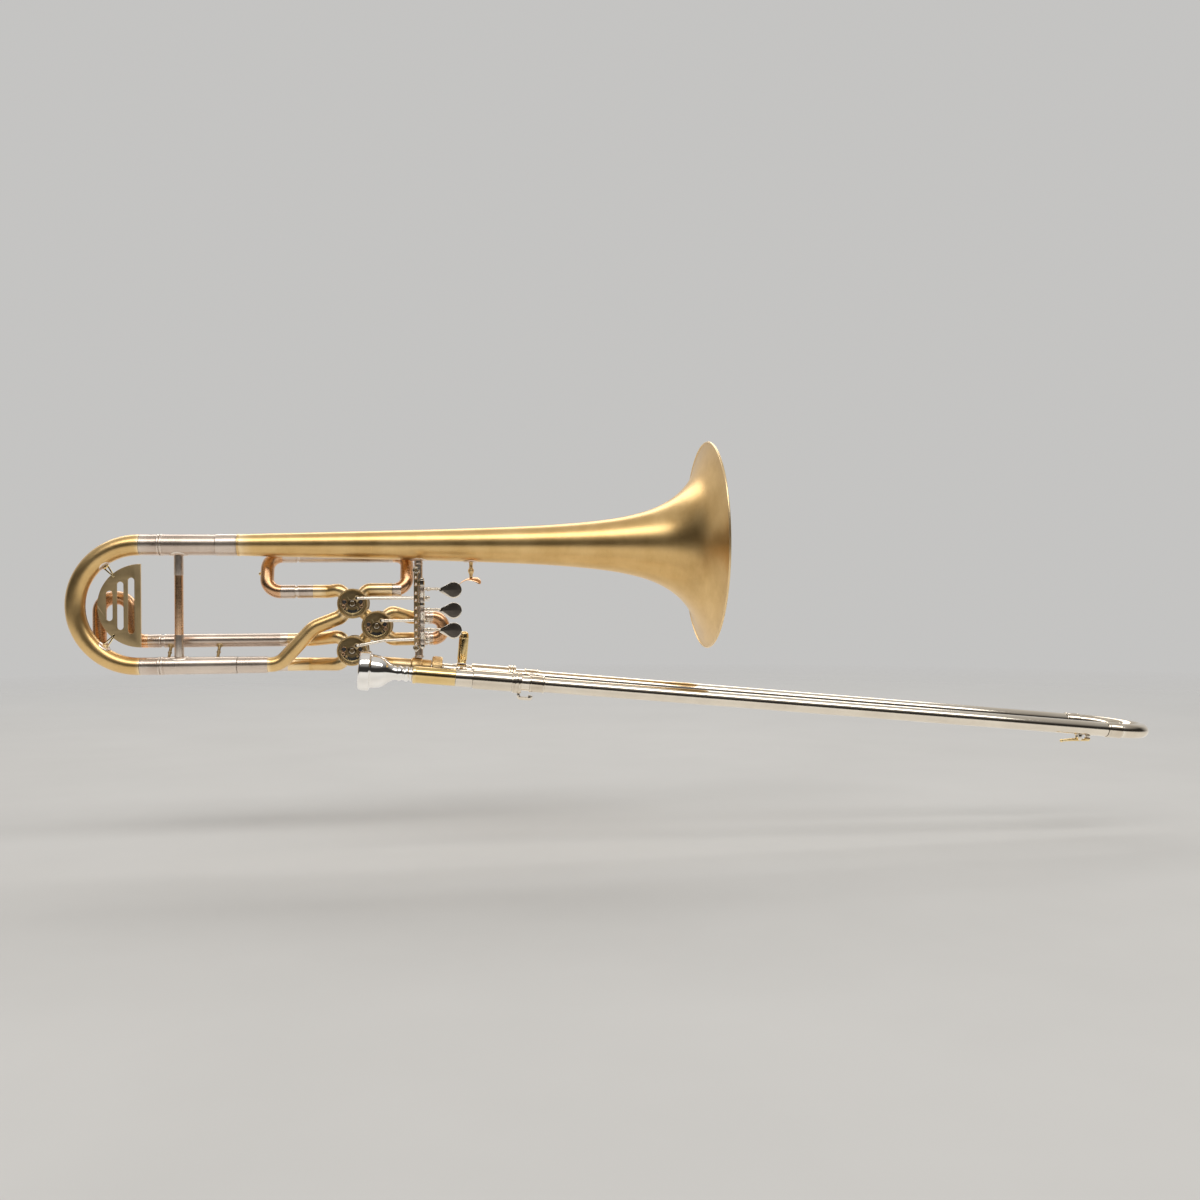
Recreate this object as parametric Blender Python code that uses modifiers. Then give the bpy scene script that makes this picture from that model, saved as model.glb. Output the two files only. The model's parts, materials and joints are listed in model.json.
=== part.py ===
"""Slide trombone with three rotary valves: bell section, valve cluster and hand slide.

All sizes are millimetres in the bell's own frame: +X runs along the bell axis towards its mouth, +Z is up,
+Y is away from the player's lever side, and X = 0 is the bell rim. The hand grip, where the inner brace of the
slide crosses the neck side tube, is moved to the world origin when the pieces are placed.
"""
import math

import bmesh
import bpy
from mathutils import Euler, Vector

MM = 0.001

# ---------------------------------------------------------------- overall sizes
BELL_RIM_RADIUS = 110.0
BELL_LENGTH = 486.6
BELL_TAIL_RADIUS = 10.9
BELL_WALL = 0.9
GAP = 0.3
SLIDE_FIT = 0.15
LEG_FIT = 0.2
VALVE_LEG_FIT = 0.27

# ---------------------------------------------------------------- main tuning slide
LEG_DROP = 122.0
BOW_RADIUS = LEG_DROP / 2.0
SLEEVE_OPEN_X = -BELL_LENGTH - 74.9
BOW_START_X = SLEEVE_OPEN_X - 20.3
BOW_LEAD = 1.5
UPPER_LEG_RADIUS = 9.75
UPPER_SLEEVE_RADIUS = 10.55
LOWER_LEG_RADIUS = 8.0
LOWER_SLEEVE_RADIUS = 8.75
TUBE_WALL = 0.6
FERRULE_X = -BELL_LENGTH - 20.8
LOWER_SLEEVE_END_X = -BELL_LENGTH - 0.7
GOOSENECK_X = LOWER_SLEEVE_END_X + GAP
TUNING_LEG_LENGTH = 70.0

# ---------------------------------------------------------------- hand slide, in its own tilted frame
GRIP = Vector((-258.0, 0.0, -131.8))
SLIDE_PITCH = math.radians(5.42)
SLIDE_ROLL = math.radians(1.28)
SLIDE_SPACING = 82.6
SLIDE_INNER_RADIUS = 6.95
SLIDE_OUTER_BORE = SLIDE_INNER_RADIUS + SLIDE_FIT
SLIDE_OUTER_RADIUS = SLIDE_OUTER_BORE + 0.3
SLIDE_TUBE_BORE = SLIDE_INNER_RADIUS - 0.55
SLIDE_TUBE_END = 667.2
INNER_END = SLIDE_TUBE_END - 17.2
SLIDE_TOP = 12.0
BARREL_START = 6.4
BARREL_END = 44.7
BARREL_RADIUS = SLIDE_OUTER_RADIUS + 1.9
NUT_BORE = SLIDE_INNER_RADIUS + 0.95
RECEIVER_RADIUS = SLIDE_INNER_RADIUS + 3.55
FERRULE_RADIUS = SLIDE_OUTER_RADIUS + 0.9
BOW_BEGIN = SLIDE_TUBE_END + 17.6

# ---------------------------------------------------------------- rotary valves
VALVE_CENTRES = ((-371.1, -60.2), (-347.0, -83.1), (-371.7, -108.2))
CASING_RADIUS = 14.2
CASING_BORE = CASING_RADIUS - 1.2
CAP_RADIUS = CASING_RADIUS + 1.0
CASING_HALF = 15.0
FACE_DEPTH = 20.0
ROTOR_RADIUS = CASING_BORE - 0.35
CRANK_RADIUS = 7.6
VALVE_TUBE_RADIUS = 6.8
VALVE_TUBE_BORE = VALVE_TUBE_RADIUS - 0.7
VALVE_LEG_RADIUS = VALVE_TUBE_BORE - VALVE_LEG_FIT
VALVE_LEG_BORE = VALVE_LEG_RADIUS - 0.53

# ---------------------------------------------------------------- levers and link rods
LEVER_SWING = math.radians(40.0)
ROD_STROKE = 2.0 * CRANK_RADIUS * math.sin(math.radians(45.0))
LEVER_ARM = ROD_STROKE / (2.0 * math.sin(LEVER_SWING / 2.0))
ROD_Y = -26.2
HINGE_X = -301.0
HINGE_Y = ROD_Y - LEVER_ARM * math.cos(LEVER_SWING / 2.0)
PIN_RADIUS = 1.3
BARREL_BORE = PIN_RADIUS + 0.25
LEVER_BARREL_RADIUS = 3.0
STEM_LEVELS = (-46.0, -66.6, -86.8)
ROD_LEVELS = (VALVE_CENTRES[0][1] + CRANK_RADIUS * math.sin(math.radians(45.0)),
              VALVE_CENTRES[1][1] + CRANK_RADIUS * math.sin(math.radians(45.0)),
              -96.8)
STANCHION_X = -305.0

COLORS = {
    "satin_brass": (0.80, 0.58, 0.27, 1.0),
    "polished_brass": (0.86, 0.66, 0.34, 1.0),
    "aged_brass": (0.42, 0.31, 0.16, 1.0),
    "rose_brass": (0.72, 0.42, 0.26, 1.0),
    "satin_nickel": (0.62, 0.56, 0.50, 1.0),
    "polished_nickel": (0.85, 0.82, 0.77, 1.0),
    "silver_plate": (0.93, 0.92, 0.90, 1.0),
    "black_rubber": (0.03, 0.03, 0.03, 1.0),
}


# ---------------------------------------------------------------- helpers
for old in list(bpy.data.objects):
    bpy.data.objects.remove(old, do_unlink=True)

PARTS = bpy.data.collections.new("trombone")
CUTTERS = bpy.data.collections.new("cutters")
bpy.context.scene.collection.children.link(PARTS)
bpy.context.scene.collection.children.link(CUTTERS)


def make_material(slot, name):
    """One Principled material for one piece."""
    material = bpy.data.materials.new(name + "_mat")
    material.use_nodes = True
    shader = material.node_tree.nodes["Principled BSDF"]
    shader.inputs["Base Color"].default_value = COLORS[slot]
    shader.inputs["Metallic"].default_value = 0.0 if slot == "black_rubber" else 1.0
    shader.inputs["Roughness"].default_value = 0.18 if "polished" in slot or "plate" in slot else 0.38
    return material


def add_empty(name, where, turn=(0.0, 0.0, 0.0)):
    """A frame that pieces hang from, given in the bell frame."""
    empty = bpy.data.objects.new(name, None)
    empty.location = (Vector(where) - GRIP) * MM
    empty.rotation_euler = Euler(turn)
    PARTS.objects.link(empty)
    return empty


BELL_FRAME = add_empty("bell_frame", (0.0, 0.0, 0.0))
SLIDE_FRAME = add_empty("slide_frame", GRIP, (SLIDE_ROLL, SLIDE_PITCH, 0.0))

TURNS = {
    "X": (0.0, math.radians(90.0), 0.0),
    "-Y": (math.radians(90.0), 0.0, 0.0),
    "Y": (math.radians(-90.0), 0.0, 0.0),
    "Z": (0.0, 0.0, 0.0),
}


def place(name, mesh, slot, where=(0.0, 0.0, 0.0), turn=(0.0, 0.0, 0.0), frame=None, cutter=False):
    """Put a mesh, made in millimetres, into the assembly."""
    for vertex in mesh.vertices:
        vertex.co *= MM
    mesh.shade_smooth()
    mesh.set_sharp_from_angle(angle=math.radians(35.0))
    piece = bpy.data.objects.new(name, mesh)
    piece.location = Vector(where) * MM
    piece.rotation_euler = Euler(turn)
    piece.parent = frame if frame is not None else BELL_FRAME
    if cutter:
        CUTTERS.objects.link(piece)
        piece.hide_render = True
        piece.display_type = "WIRE"
    else:
        PARTS.objects.link(piece)
        mesh.materials.append(make_material(slot, name))
    return piece


def lathe(name, profile, slot, where=(0.0, 0.0, 0.0), axis="X", frame=None, closed=True, steps=16,
          turn=None, cutter=False):
    """Turned piece. The profile is (radius, height) pairs, down the outer side first."""
    mesh = bpy.data.meshes.new(name)
    points = [(radius, 0.0, height) for radius, height in profile]
    edges = [(i, i + 1) for i in range(len(points) - 1)]
    if closed:
        edges.append((len(points) - 1, 0))
    mesh.from_pydata(points, edges, [])
    piece = place(name, mesh, slot, where, TURNS[axis] if turn is None else turn, frame, cutter)
    screw = piece.modifiers.new("turned", "SCREW")
    screw.angle = math.radians(360.0)
    screw.steps = steps
    screw.render_steps = steps
    screw.use_merge_vertices = True
    screw.merge_threshold = 0.00001
    screw.use_smooth_shade = True
    return piece


def pipe_profile(start, end, outer, bore):
    """Straight pipe wall between two heights."""
    return [(outer, end), (outer, start), (bore, start), (bore, end)]


def rod_profile(start, end, radius):
    """Solid round rod between two heights."""
    return [(0.0, end), (radius, end), (radius, start), (0.0, start)]


def route(corners, steps=3):
    """Centre line through corners (x, y, z, bend radius), each bend a circular arc."""
    points = [Vector(corners[0][:3])]
    for before, corner, after in zip(corners, corners[1:], corners[2:]):
        here = Vector(corner[:3])
        back = (Vector(before[:3]) - here).normalized()
        ahead = (Vector(after[:3]) - here).normalized()
        half = back.angle(ahead) / 2.0
        trim = corner[3] / math.tan(half)
        middle = (back + ahead).normalized()
        centre = here + middle * (corner[3] / math.sin(half))
        first = here + back * trim - centre
        last = here + ahead * trim - centre
        sweep_angle = first.angle(last)
        for step in range(steps + 1):
            part = step / steps
            spoke = (first * math.sin((1.0 - part) * sweep_angle) + last * math.sin(part * sweep_angle))
            points.append(centre + spoke / math.sin(sweep_angle))
    points.append(Vector(corners[-1][:3]))
    return points


def ring_frames(points):
    """Tangent and two side directions at each centre line point, carried along without twist."""
    tangents = []
    for i in range(len(points)):
        low = i
        while low > 0 and (points[i] - points[low]).length < 1e-4:
            low -= 1
        high = i
        while high < len(points) - 1 and (points[high] - points[i]).length < 1e-4:
            high += 1
        tangents.append((points[high] - points[low]).normalized())
    side = tangents[0].orthogonal().normalized()
    frames = []
    for tangent in tangents:
        side = (side - tangent * side.dot(tangent)).normalized()
        frames.append((side, tangent.cross(side)))
    return frames


def bent_pipe(name, points, outer, bore, slot, where=(0.0, 0.0, 0.0), frame=None, sides=12):
    """Hollow bent pipe: one radius pair, or one pair for each centre line point."""
    count = len(points)
    outers = outer if isinstance(outer, list) else [outer] * count
    bores = bore if isinstance(bore, list) else [bore] * count
    frames = ring_frames(points)
    form = bmesh.new()
    rings = []
    for radii, order in ((outers, range(count)), (bores, reversed(range(count)))):
        for i in order:
            side, other = frames[i]
            ring = []
            for k in range(sides):
                angle = 2.0 * math.pi * k / sides
                spoke = side * math.cos(angle) + other * math.sin(angle)
                ring.append(form.verts.new(points[i] + spoke * radii[i]))
            rings.append(ring)
    for a in range(len(rings)):
        first = rings[a]
        second = rings[(a + 1) % len(rings)]
        for k in range(sides):
            n = (k + 1) % sides
            form.faces.new((first[k], first[n], second[n], second[k]))
    bmesh.ops.recalc_face_normals(form, faces=form.faces)
    mesh = bpy.data.meshes.new(name)
    form.to_mesh(mesh)
    form.free()
    return place(name, mesh, slot, where, (0.0, 0.0, 0.0), frame)


def prism(name, outline, low, high, slot, where=(0.0, 0.0, 0.0), turn=(0.0, 0.0, 0.0), frame=None,
          cutter=False):
    """Flat plate: a closed outline in local XY, thick from low to high in local Z."""
    form = bmesh.new()
    base = form.faces.new([form.verts.new((x, y, low)) for x, y in outline])
    grown = bmesh.ops.extrude_face_region(form, geom=[base])
    top = [item for item in grown["geom"] if isinstance(item, bmesh.types.BMVert)]
    bmesh.ops.translate(form, verts=top, vec=(0.0, 0.0, high - low))
    bmesh.ops.recalc_face_normals(form, faces=form.faces)
    mesh = bpy.data.meshes.new(name)
    form.to_mesh(mesh)
    form.free()
    return place(name, mesh, slot, where, turn, frame, cutter)


def block(name, low, high, slot, frame=None, cutter=False, where=(0.0, 0.0, 0.0)):
    """Rectangular bar between two corners."""
    outline = [(low[0], low[1]), (high[0], low[1]), (high[0], high[1]), (low[0], high[1])]
    return prism(name, outline, low[2], high[2], slot, where=where, frame=frame, cutter=cutter)


def combine(piece, other, operation):
    """Join or cut a piece with a hidden helper solid."""
    modifier = piece.modifiers.new(operation.lower() + "_" + other.name, "BOOLEAN")
    modifier.operation = operation
    modifier.solver = "EXACT"
    modifier.object = other
    return piece


def arc(centre, radius, start, end, steps):
    """Points on a circular arc, angles in degrees."""
    points = []
    for step in range(steps + 1):
        angle = math.radians(start + (end - start) * step / steps)
        points.append((centre[0] + radius * math.cos(angle), centre[1] + radius * math.sin(angle)))
    return points


# ---------------------------------------------------------------- bell
BELL_STATIONS = (
    (-115.0, 26.1), (-86.0, 30.9), (-60.0, 38.2), (-40.0, 48.2), (-26.0, 59.4), (-15.0, 73.0),
    (-7.5, 89.0), (-3.2, 101.0), (-1.4, 106.6),
)
THROAT_STATIONS = ((-364.4, 14.1), (-282.7, 16.4), (-199.6, 19.5), (-150.0, 22.6))


def bell_radius(x):
    """Outer radius of the bell at a distance from the rim."""
    stations = [(-BELL_LENGTH, BELL_TAIL_RADIUS)] + list(THROAT_STATIONS) + list(BELL_STATIONS)
    for (x0, r0), (x1, r1) in zip(stations, stations[1:]):
        if x0 <= x <= x1:
            return r0 + (r1 - r0) * (x - x0) / (x1 - x0)
    return BELL_TAIL_RADIUS


def bell_wall():
    """Closed wall section of the bell, from the rolled rim down the back and up the inside."""
    back = [(-BELL_LENGTH, BELL_TAIL_RADIUS)] + list(THROAT_STATIONS) + list(BELL_STATIONS)
    inside = []
    for i, (x, r) in enumerate(back):
        x0, r0 = back[max(i - 1, 0)]
        x1, r1 = back[min(i + 1, len(back) - 1)]
        length = math.hypot(x1 - x0, r1 - r0)
        inside.append((x + BELL_WALL * (r1 - r0) / length, r - BELL_WALL * (x1 - x0) / length))
    bead = arc((-0.9, BELL_RIM_RADIUS - 1.2), 1.2, -45.0, 225.0, 4)
    section = bead + list(reversed(back)) + inside
    return [(r, x) for x, r in section]


lathe("bell", bell_wall(), "satin_brass", steps=28)

# ---------------------------------------------------------------- main tuning slide and its sleeves
lathe("tuning_sleeve_upper",
      [(UPPER_SLEEVE_RADIUS + 0.6, -BELL_LENGTH - GAP), (UPPER_SLEEVE_RADIUS + 0.6, FERRULE_X),
       (UPPER_SLEEVE_RADIUS, FERRULE_X), (UPPER_SLEEVE_RADIUS, SLEEVE_OPEN_X + 2.0),
       (UPPER_SLEEVE_RADIUS + 0.5, SLEEVE_OPEN_X + 2.0), (UPPER_SLEEVE_RADIUS + 0.5, SLEEVE_OPEN_X),
       (UPPER_LEG_RADIUS + LEG_FIT, SLEEVE_OPEN_X), (UPPER_LEG_RADIUS + LEG_FIT, -BELL_LENGTH - GAP)],
      "satin_nickel")
lathe("tuning_sleeve_lower",
      [(LOWER_SLEEVE_RADIUS, LOWER_SLEEVE_END_X), (LOWER_SLEEVE_RADIUS, SLEEVE_OPEN_X + 2.0),
       (LOWER_SLEEVE_RADIUS + 0.5, SLEEVE_OPEN_X + 2.0), (LOWER_SLEEVE_RADIUS + 0.5, SLEEVE_OPEN_X),
       (LOWER_LEG_RADIUS + LEG_FIT, SLEEVE_OPEN_X), (LOWER_LEG_RADIUS + LEG_FIT, LOWER_SLEEVE_END_X)],
      "satin_nickel", where=(0.0, 0.0, -LEG_DROP))
LEG_START = BOW_START_X + GAP
lathe("tuning_leg_upper",
      pipe_profile(LEG_START, LEG_START + TUNING_LEG_LENGTH, UPPER_LEG_RADIUS, UPPER_LEG_RADIUS - TUBE_WALL),
      "satin_nickel")
lathe("tuning_leg_lower",
      pipe_profile(LEG_START, LEG_START + TUNING_LEG_LENGTH, LOWER_LEG_RADIUS, LOWER_LEG_RADIUS - TUBE_WALL),
      "satin_nickel", where=(0.0, 0.0, -LEG_DROP))

BOW_STEPS = 12
bow_line = [Vector((BOW_START_X - BOW_LEAD - BOW_RADIUS * math.sin(math.pi * i / BOW_STEPS), 0.0,
                    -BOW_RADIUS + BOW_RADIUS * math.cos(math.pi * i / BOW_STEPS)))
            for i in range(BOW_STEPS + 1)]
bow_line = [Vector((BOW_START_X, 0.0, 0.0))] + bow_line + [Vector((BOW_START_X, 0.0, -LEG_DROP))]
bow_outer = [UPPER_SLEEVE_RADIUS + (LOWER_SLEEVE_RADIUS - UPPER_SLEEVE_RADIUS) * i / (BOW_STEPS + 2)
             for i in range(BOW_STEPS + 3)]
bent_pipe("tuning_bow", bow_line, bow_outer, [r - TUBE_WALL for r in bow_outer], "satin_brass", sides=14)

BRACE_X = SLEEVE_OPEN_X + 17.2
brace_top = -UPPER_SLEEVE_RADIUS - GAP
brace_foot = -LEG_DROP + LOWER_SLEEVE_RADIUS + GAP
lathe("bow_brace",
      [(0.0, brace_top), (7.5, brace_top), (7.5, brace_top - 1.2), (4.9, brace_top - 2.2),
       (4.9, brace_top - 19.5), (4.4, brace_top - 20.0), (4.4, brace_foot + 22.5),
       (4.9, brace_foot + 22.0), (4.9, brace_foot + 2.2), (7.5, brace_foot + 1.2), (7.5, brace_foot),
       (0.0, brace_foot)],
      "satin_nickel", where=(BRACE_X, 0.0, 0.0), axis="Z", closed=False, steps=14)

# ---------------------------------------------------------------- counterweight inside the bow
WEIGHT_RADIUS = BOW_RADIUS - 19.0
WEIGHT_HALF = 1.1
WEIGHT_X = BOW_START_X + 0.8
stay_root = WEIGHT_RADIUS - 3.0
stay_tip = BOW_RADIUS - UPPER_SLEEVE_RADIUS - GAP
weight = prism("counterweight", arc((0.0, 0.0), WEIGHT_RADIUS, 90.0, 270.0, 16), -WEIGHT_HALF, WEIGHT_HALF,
               "aged_brass", where=(WEIGHT_X, 0.0, -BOW_RADIUS), turn=TURNS["-Y"])
for number, (offset, half_length) in enumerate(((-9.5, 25.0), (-20.0, 21.0), (-30.5, 12.0))):
    rounded = arc((offset, half_length), 3.2, 0.0, 180.0, 4) + arc((offset, -half_length), 3.2, 180.0, 360.0, 4)
    slot_cut = prism("slot_cut_%d" % (number + 1), rounded, -4.0, 4.0, "aged_brass",
                     where=(WEIGHT_X, 0.0, -BOW_RADIUS), turn=TURNS["-Y"], cutter=True)
    combine(weight, slot_cut, "DIFFERENCE")
for name, angle in (("weight_stay_upper", 128.7), ("weight_stay_lower", 231.3)):
    lean = math.radians(90.0 - angle)
    stay = lathe(name + "_form",
                 [(0.0, stay_tip), (3.4, stay_tip), (3.4, stay_tip - 1.0), (1.5, stay_tip - 2.4),
                  (1.5, stay_root), (0.0, stay_root)],
                 "aged_brass", where=(WEIGHT_X, 0.0, -BOW_RADIUS), turn=(0.0, lean, 0.0), closed=False,
                 steps=8, cutter=True)
    combine(weight, stay, "UNION")

# ---------------------------------------------------------------- rotary valves
for number, (valve_x, valve_z) in enumerate(VALVE_CENTRES):
    title = "valve_%d_" % (number + 1)
    centre = (valve_x, 0.0, valve_z)
    lathe(title + "casing",
          [(CAP_RADIUS, FACE_DEPTH), (CAP_RADIUS, CASING_HALF), (CASING_RADIUS, CASING_HALF),
           (CASING_RADIUS, -CASING_HALF), (CASING_BORE, -CASING_HALF), (CASING_BORE, 12.0), (3.1, 12.0),
           (3.1, 17.0), (CASING_BORE + 0.4, 17.0), (CASING_BORE + 0.4, FACE_DEPTH)],
          "aged_brass", where=centre, axis="-Y")
    lathe(title + "back_cap",
          [(0.0, -CASING_HALF - GAP), (CAP_RADIUS, -CASING_HALF - GAP), (CAP_RADIUS, -19.0),
           (CASING_BORE + 0.6, -20.0), (4.5, -20.0), (4.5, -21.5), (0.0, -21.5)],
          "aged_brass", where=centre, axis="-Y", closed=False)
    rotor = lathe(title + "rotor",
                  [(0.0, 22.0), (2.2, 22.0), (2.2, 20.2), (4.6, 20.2), (4.6, 17.3), (2.85, 17.3),
                   (2.85, 11.5), (ROTOR_RADIUS, 11.5), (ROTOR_RADIUS, -14.5), (0.0, -14.5)],
                  "polished_nickel", where=centre, axis="-Y", closed=False, steps=16)
    for side in (-1.0, 1.0):
        groove = lathe(title + "groove_" + ("a" if side < 0 else "b"), rod_profile(-20.0, 20.0, 5.6),
                       "polished_nickel", where=(valve_x + side * (ROTOR_RADIUS - 2.85), 0.0, valve_z),
                       axis="Z", closed=False, steps=10, cutter=True)
        combine(rotor, groove, "DIFFERENCE")
    crank_outline = arc((0.0, 0.0), 3.4, 90.0, 270.0, 5) + arc((CRANK_RADIUS, 0.0), 2.5, -90.0, 90.0, 5)
    crank = prism(title + "crank", crank_outline, 17.6, 19.8, "polished_nickel", where=centre,
                  turn=(math.radians(90.0), math.radians(-45.0), 0.0), cutter=True)
    combine(rotor, crank, "UNION")
    ball_x = valve_x + CRANK_RADIUS * math.cos(math.radians(45.0))
    ball_z = valve_z + CRANK_RADIUS * math.sin(math.radians(45.0))
    stud = lathe(title + "stud", rod_profile(18.2, 24.0, 1.7), "polished_nickel",
                 where=(ball_x, 0.0, ball_z), axis="-Y", closed=False, steps=10, cutter=True)
    combine(rotor, stud, "UNION")


def port(number, x_sign, z_sign, reach):
    """Point on a valve's diagonal port line, in the bell frame."""
    x, z = VALVE_CENTRES[number - 1]
    return (x + x_sign * reach * math.sqrt(0.5), 0.0, z + z_sign * reach * math.sqrt(0.5))


PORT = CASING_RADIUS + GAP
ELBOW = PORT + 5.4
ELBOW_BEND = 7.0


def port_corner(number, x_sign, z_sign):
    """Where a port line meets the level run of its pipe."""
    return port(number, x_sign, z_sign, ELBOW) + (ELBOW_BEND,)


# Gooseneck: sleeve from the lower tuning leg, then an S bend up into valve 1.
GOOSENECK_SLEEVE_X = GOOSENECK_X + 29.9
goose = route([(GOOSENECK_X, 0.0, -LEG_DROP, 0.0), (GOOSENECK_X + 41.0, 0.0, -LEG_DROP, 20.0),
               (-411.5, 0.0, -84.5, 26.0), port_corner(1, -1.0, -1.0), port(1, -1.0, -1.0, PORT)], steps=3)
goose_sleeve = [Vector((GOOSENECK_X, 0.0, -LEG_DROP)), Vector((GOOSENECK_SLEEVE_X, 0.0, -LEG_DROP))]
bent_pipe("gooseneck", goose_sleeve + [Vector((GOOSENECK_SLEEVE_X, 0.0, -LEG_DROP))] + goose[1:],
          [8.45, 8.45] + [7.5] * len(goose), [7.4, 7.4] + [6.8] * len(goose), "satin_brass")

# Valve 1 loop.
V1_LOW = (6.0, -47.6)
V1_TOP = (20.0, -10.6)
V1_CROOK_X = -332.0
V1_RIGHT = port_corner(1, 1.0, 1.0)[2]
bent_pipe("valve_1_knuckle_left",
          route([(-428.0, V1_LOW[0], V1_LOW[1], 0.0), (-396.0, V1_LOW[0], V1_LOW[1], 14.0),
                 port_corner(1, -1.0, 1.0), port(1, -1.0, 1.0, PORT)], steps=2),
          VALVE_TUBE_RADIUS, VALVE_TUBE_BORE, "satin_brass")
bent_pipe("valve_1_knuckle_right",
          route([(V1_CROOK_X, 0.0, V1_RIGHT, 0.0), port_corner(1, 1.0, 1.0), port(1, 1.0, 1.0, PORT)], steps=3),
          VALVE_TUBE_RADIUS, VALVE_TUBE_BORE, "satin_brass")
bent_pipe("valve_1_return_tube",
          route([(V1_CROOK_X + GAP, 0.0, V1_RIGHT, 0.0), (-317.3, 0.0, V1_RIGHT, 13.0),
                 (-317.3, V1_TOP[0], V1_TOP[1], 12.0), (-428.0, V1_TOP[0], V1_TOP[1], 0.0)], steps=4),
          VALVE_TUBE_RADIUS, VALVE_TUBE_BORE, "rose_brass")
v1_bow = route([(-443.0, V1_LOW[0], V1_LOW[1], 0.0), (-459.2, V1_LOW[0], V1_LOW[1], 14.5),
                (-459.2, V1_TOP[0], V1_TOP[1], 14.5), (-443.0, V1_TOP[0], V1_TOP[1], 0.0)], steps=4)
v1_low_leg = [Vector((-401.0, V1_LOW[0], V1_LOW[1])), Vector((-443.0, V1_LOW[0], V1_LOW[1]))]
v1_top_leg = [Vector((-443.0, V1_TOP[0], V1_TOP[1])), Vector((-401.0, V1_TOP[0], V1_TOP[1]))]
bent_pipe("valve_1_slide", v1_low_leg + v1_bow + v1_top_leg,
          [VALVE_LEG_RADIUS] * 2 + [VALVE_TUBE_RADIUS] * len(v1_bow) + [VALVE_LEG_RADIUS] * 2,
          VALVE_LEG_BORE, "rose_brass")

# Valve 2 loop.
V2_Y = 13.0
V2_TOP = -75.3
V2_LOW = -97.5
V2_OPEN = -296.0
for name, z_sign, level in (("valve_2_knuckle_upper", 1.0, V2_TOP), ("valve_2_knuckle_lower", -1.0, V2_LOW)):
    bent_pipe(name,
              route([port(2, 1.0, z_sign, PORT), port_corner(2, 1.0, z_sign),
                     (-313.0, V2_Y, level, 10.0), (V2_OPEN, V2_Y, level, 0.0)], steps=2),
              VALVE_TUBE_RADIUS, VALVE_TUBE_BORE, "satin_brass")
V2_BEND = (V2_TOP - V2_LOW) / 2.0
v2_bow = [Vector((-290.9 + V2_BEND * math.sin(math.pi * i / 8), V2_Y,
                  (V2_TOP + V2_LOW) / 2.0 + V2_BEND * math.cos(math.pi * i / 8))) for i in range(9)]
v2_legs = ([Vector((-308.0, V2_Y, V2_TOP)), v2_bow[0]], [v2_bow[-1], Vector((-308.0, V2_Y, V2_LOW))])
bent_pipe("valve_2_slide", v2_legs[0] + v2_bow + v2_legs[1],
          [VALVE_LEG_RADIUS] * 2 + [VALVE_TUBE_RADIUS] * len(v2_bow) + [VALVE_LEG_RADIUS] * 2,
          VALVE_LEG_BORE, "rose_brass")

# Valve 3 loop, behind the main tubes.
V3_Y = 22.0
V3_TOP = -97.5
V3_LOW = -123.0
V3_OPEN = SLEEVE_OPEN_X - 1.5
for name, z_sign, level in (("valve_3_sleeve_upper", 1.0, V3_TOP), ("valve_3_sleeve_lower", -1.0, V3_LOW)):
    bent_pipe(name,
              route([(V3_OPEN, V3_Y, level, 0.0), (-414.0, V3_Y, level, 14.0), port_corner(3, -1.0, z_sign),
                     port(3, -1.0, z_sign, PORT)], steps=2),
              VALVE_TUBE_RADIUS, VALVE_TUBE_BORE, "satin_nickel")
V3_BEND_X = V3_OPEN - 3.0
V3_FAR_X = V3_OPEN - 64.0
v3_crook = route([(V3_BEND_X, V3_Y, V3_TOP, 0.0), (V3_OPEN - 30.0, V3_Y, V3_TOP, 11.0),
                  (V3_OPEN - 33.5, V3_Y, -53.0, 14.0), (V3_FAR_X, V3_Y, -53.0, 14.0),
                  (V3_FAR_X, V3_Y, V3_LOW, 30.0), (V3_BEND_X, V3_Y, V3_LOW, 0.0)],
                 steps=3)
v3_leg_end = V3_OPEN + 88.0
bent_pipe("valve_3_slide",
          [Vector((v3_leg_end, V3_Y, V3_TOP)), v3_crook[0]] + v3_crook
          + [v3_crook[-1], Vector((v3_leg_end, V3_Y, V3_LOW))],
          [VALVE_LEG_RADIUS] * 2 + [VALVE_TUBE_RADIUS] * len(v3_crook) + [VALVE_LEG_RADIUS] * 2,
          VALVE_LEG_BORE, "rose_brass")
post_run = Vector((0.0, -V3_Y, -LEG_DROP - V3_TOP))
post_lean = math.atan2(post_run.y, post_run.z)
for name, post_x in (("valve_3_post_left", V3_OPEN + 7.0), ("valve_3_post_right", V3_OPEN + 55.0)):
    start = VALVE_TUBE_RADIUS + GAP
    end = post_run.length - LOWER_SLEEVE_RADIUS - GAP
    lathe(name,
          [(0.0, end), (3.0, end), (1.7, end - 2.5), (1.7, start + 2.5), (3.0, start), (0.0, start)],
          "aged_brass", where=(post_x, V3_Y, V3_TOP), turn=(-post_lean, 0.0, 0.0), closed=False, steps=12)

# Short pipes between neighbouring valves.
for name, first, second in (("valve_link_12", 0, 1), ("valve_link_23", 1, 2)):
    a = Vector((VALVE_CENTRES[first][0], 0.0, VALVE_CENTRES[first][1]))
    b = Vector((VALVE_CENTRES[second][0], 0.0, VALVE_CENTRES[second][1]))
    run = (b - a).normalized()
    bent_pipe(name, [a + run * PORT, b - run * PORT], 6.3, 5.6, "satin_brass")

# ---------------------------------------------------------------- neck pipe and slide receiver
NECK_END = -35.0


def on_slide(distance, across=0.0, above=0.0):
    """Point of the hand slide's frame, given in the bell frame."""
    turn = Euler((SLIDE_ROLL, SLIDE_PITCH, 0.0)).to_matrix()
    return GRIP + turn @ Vector((distance, across, above))


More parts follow.
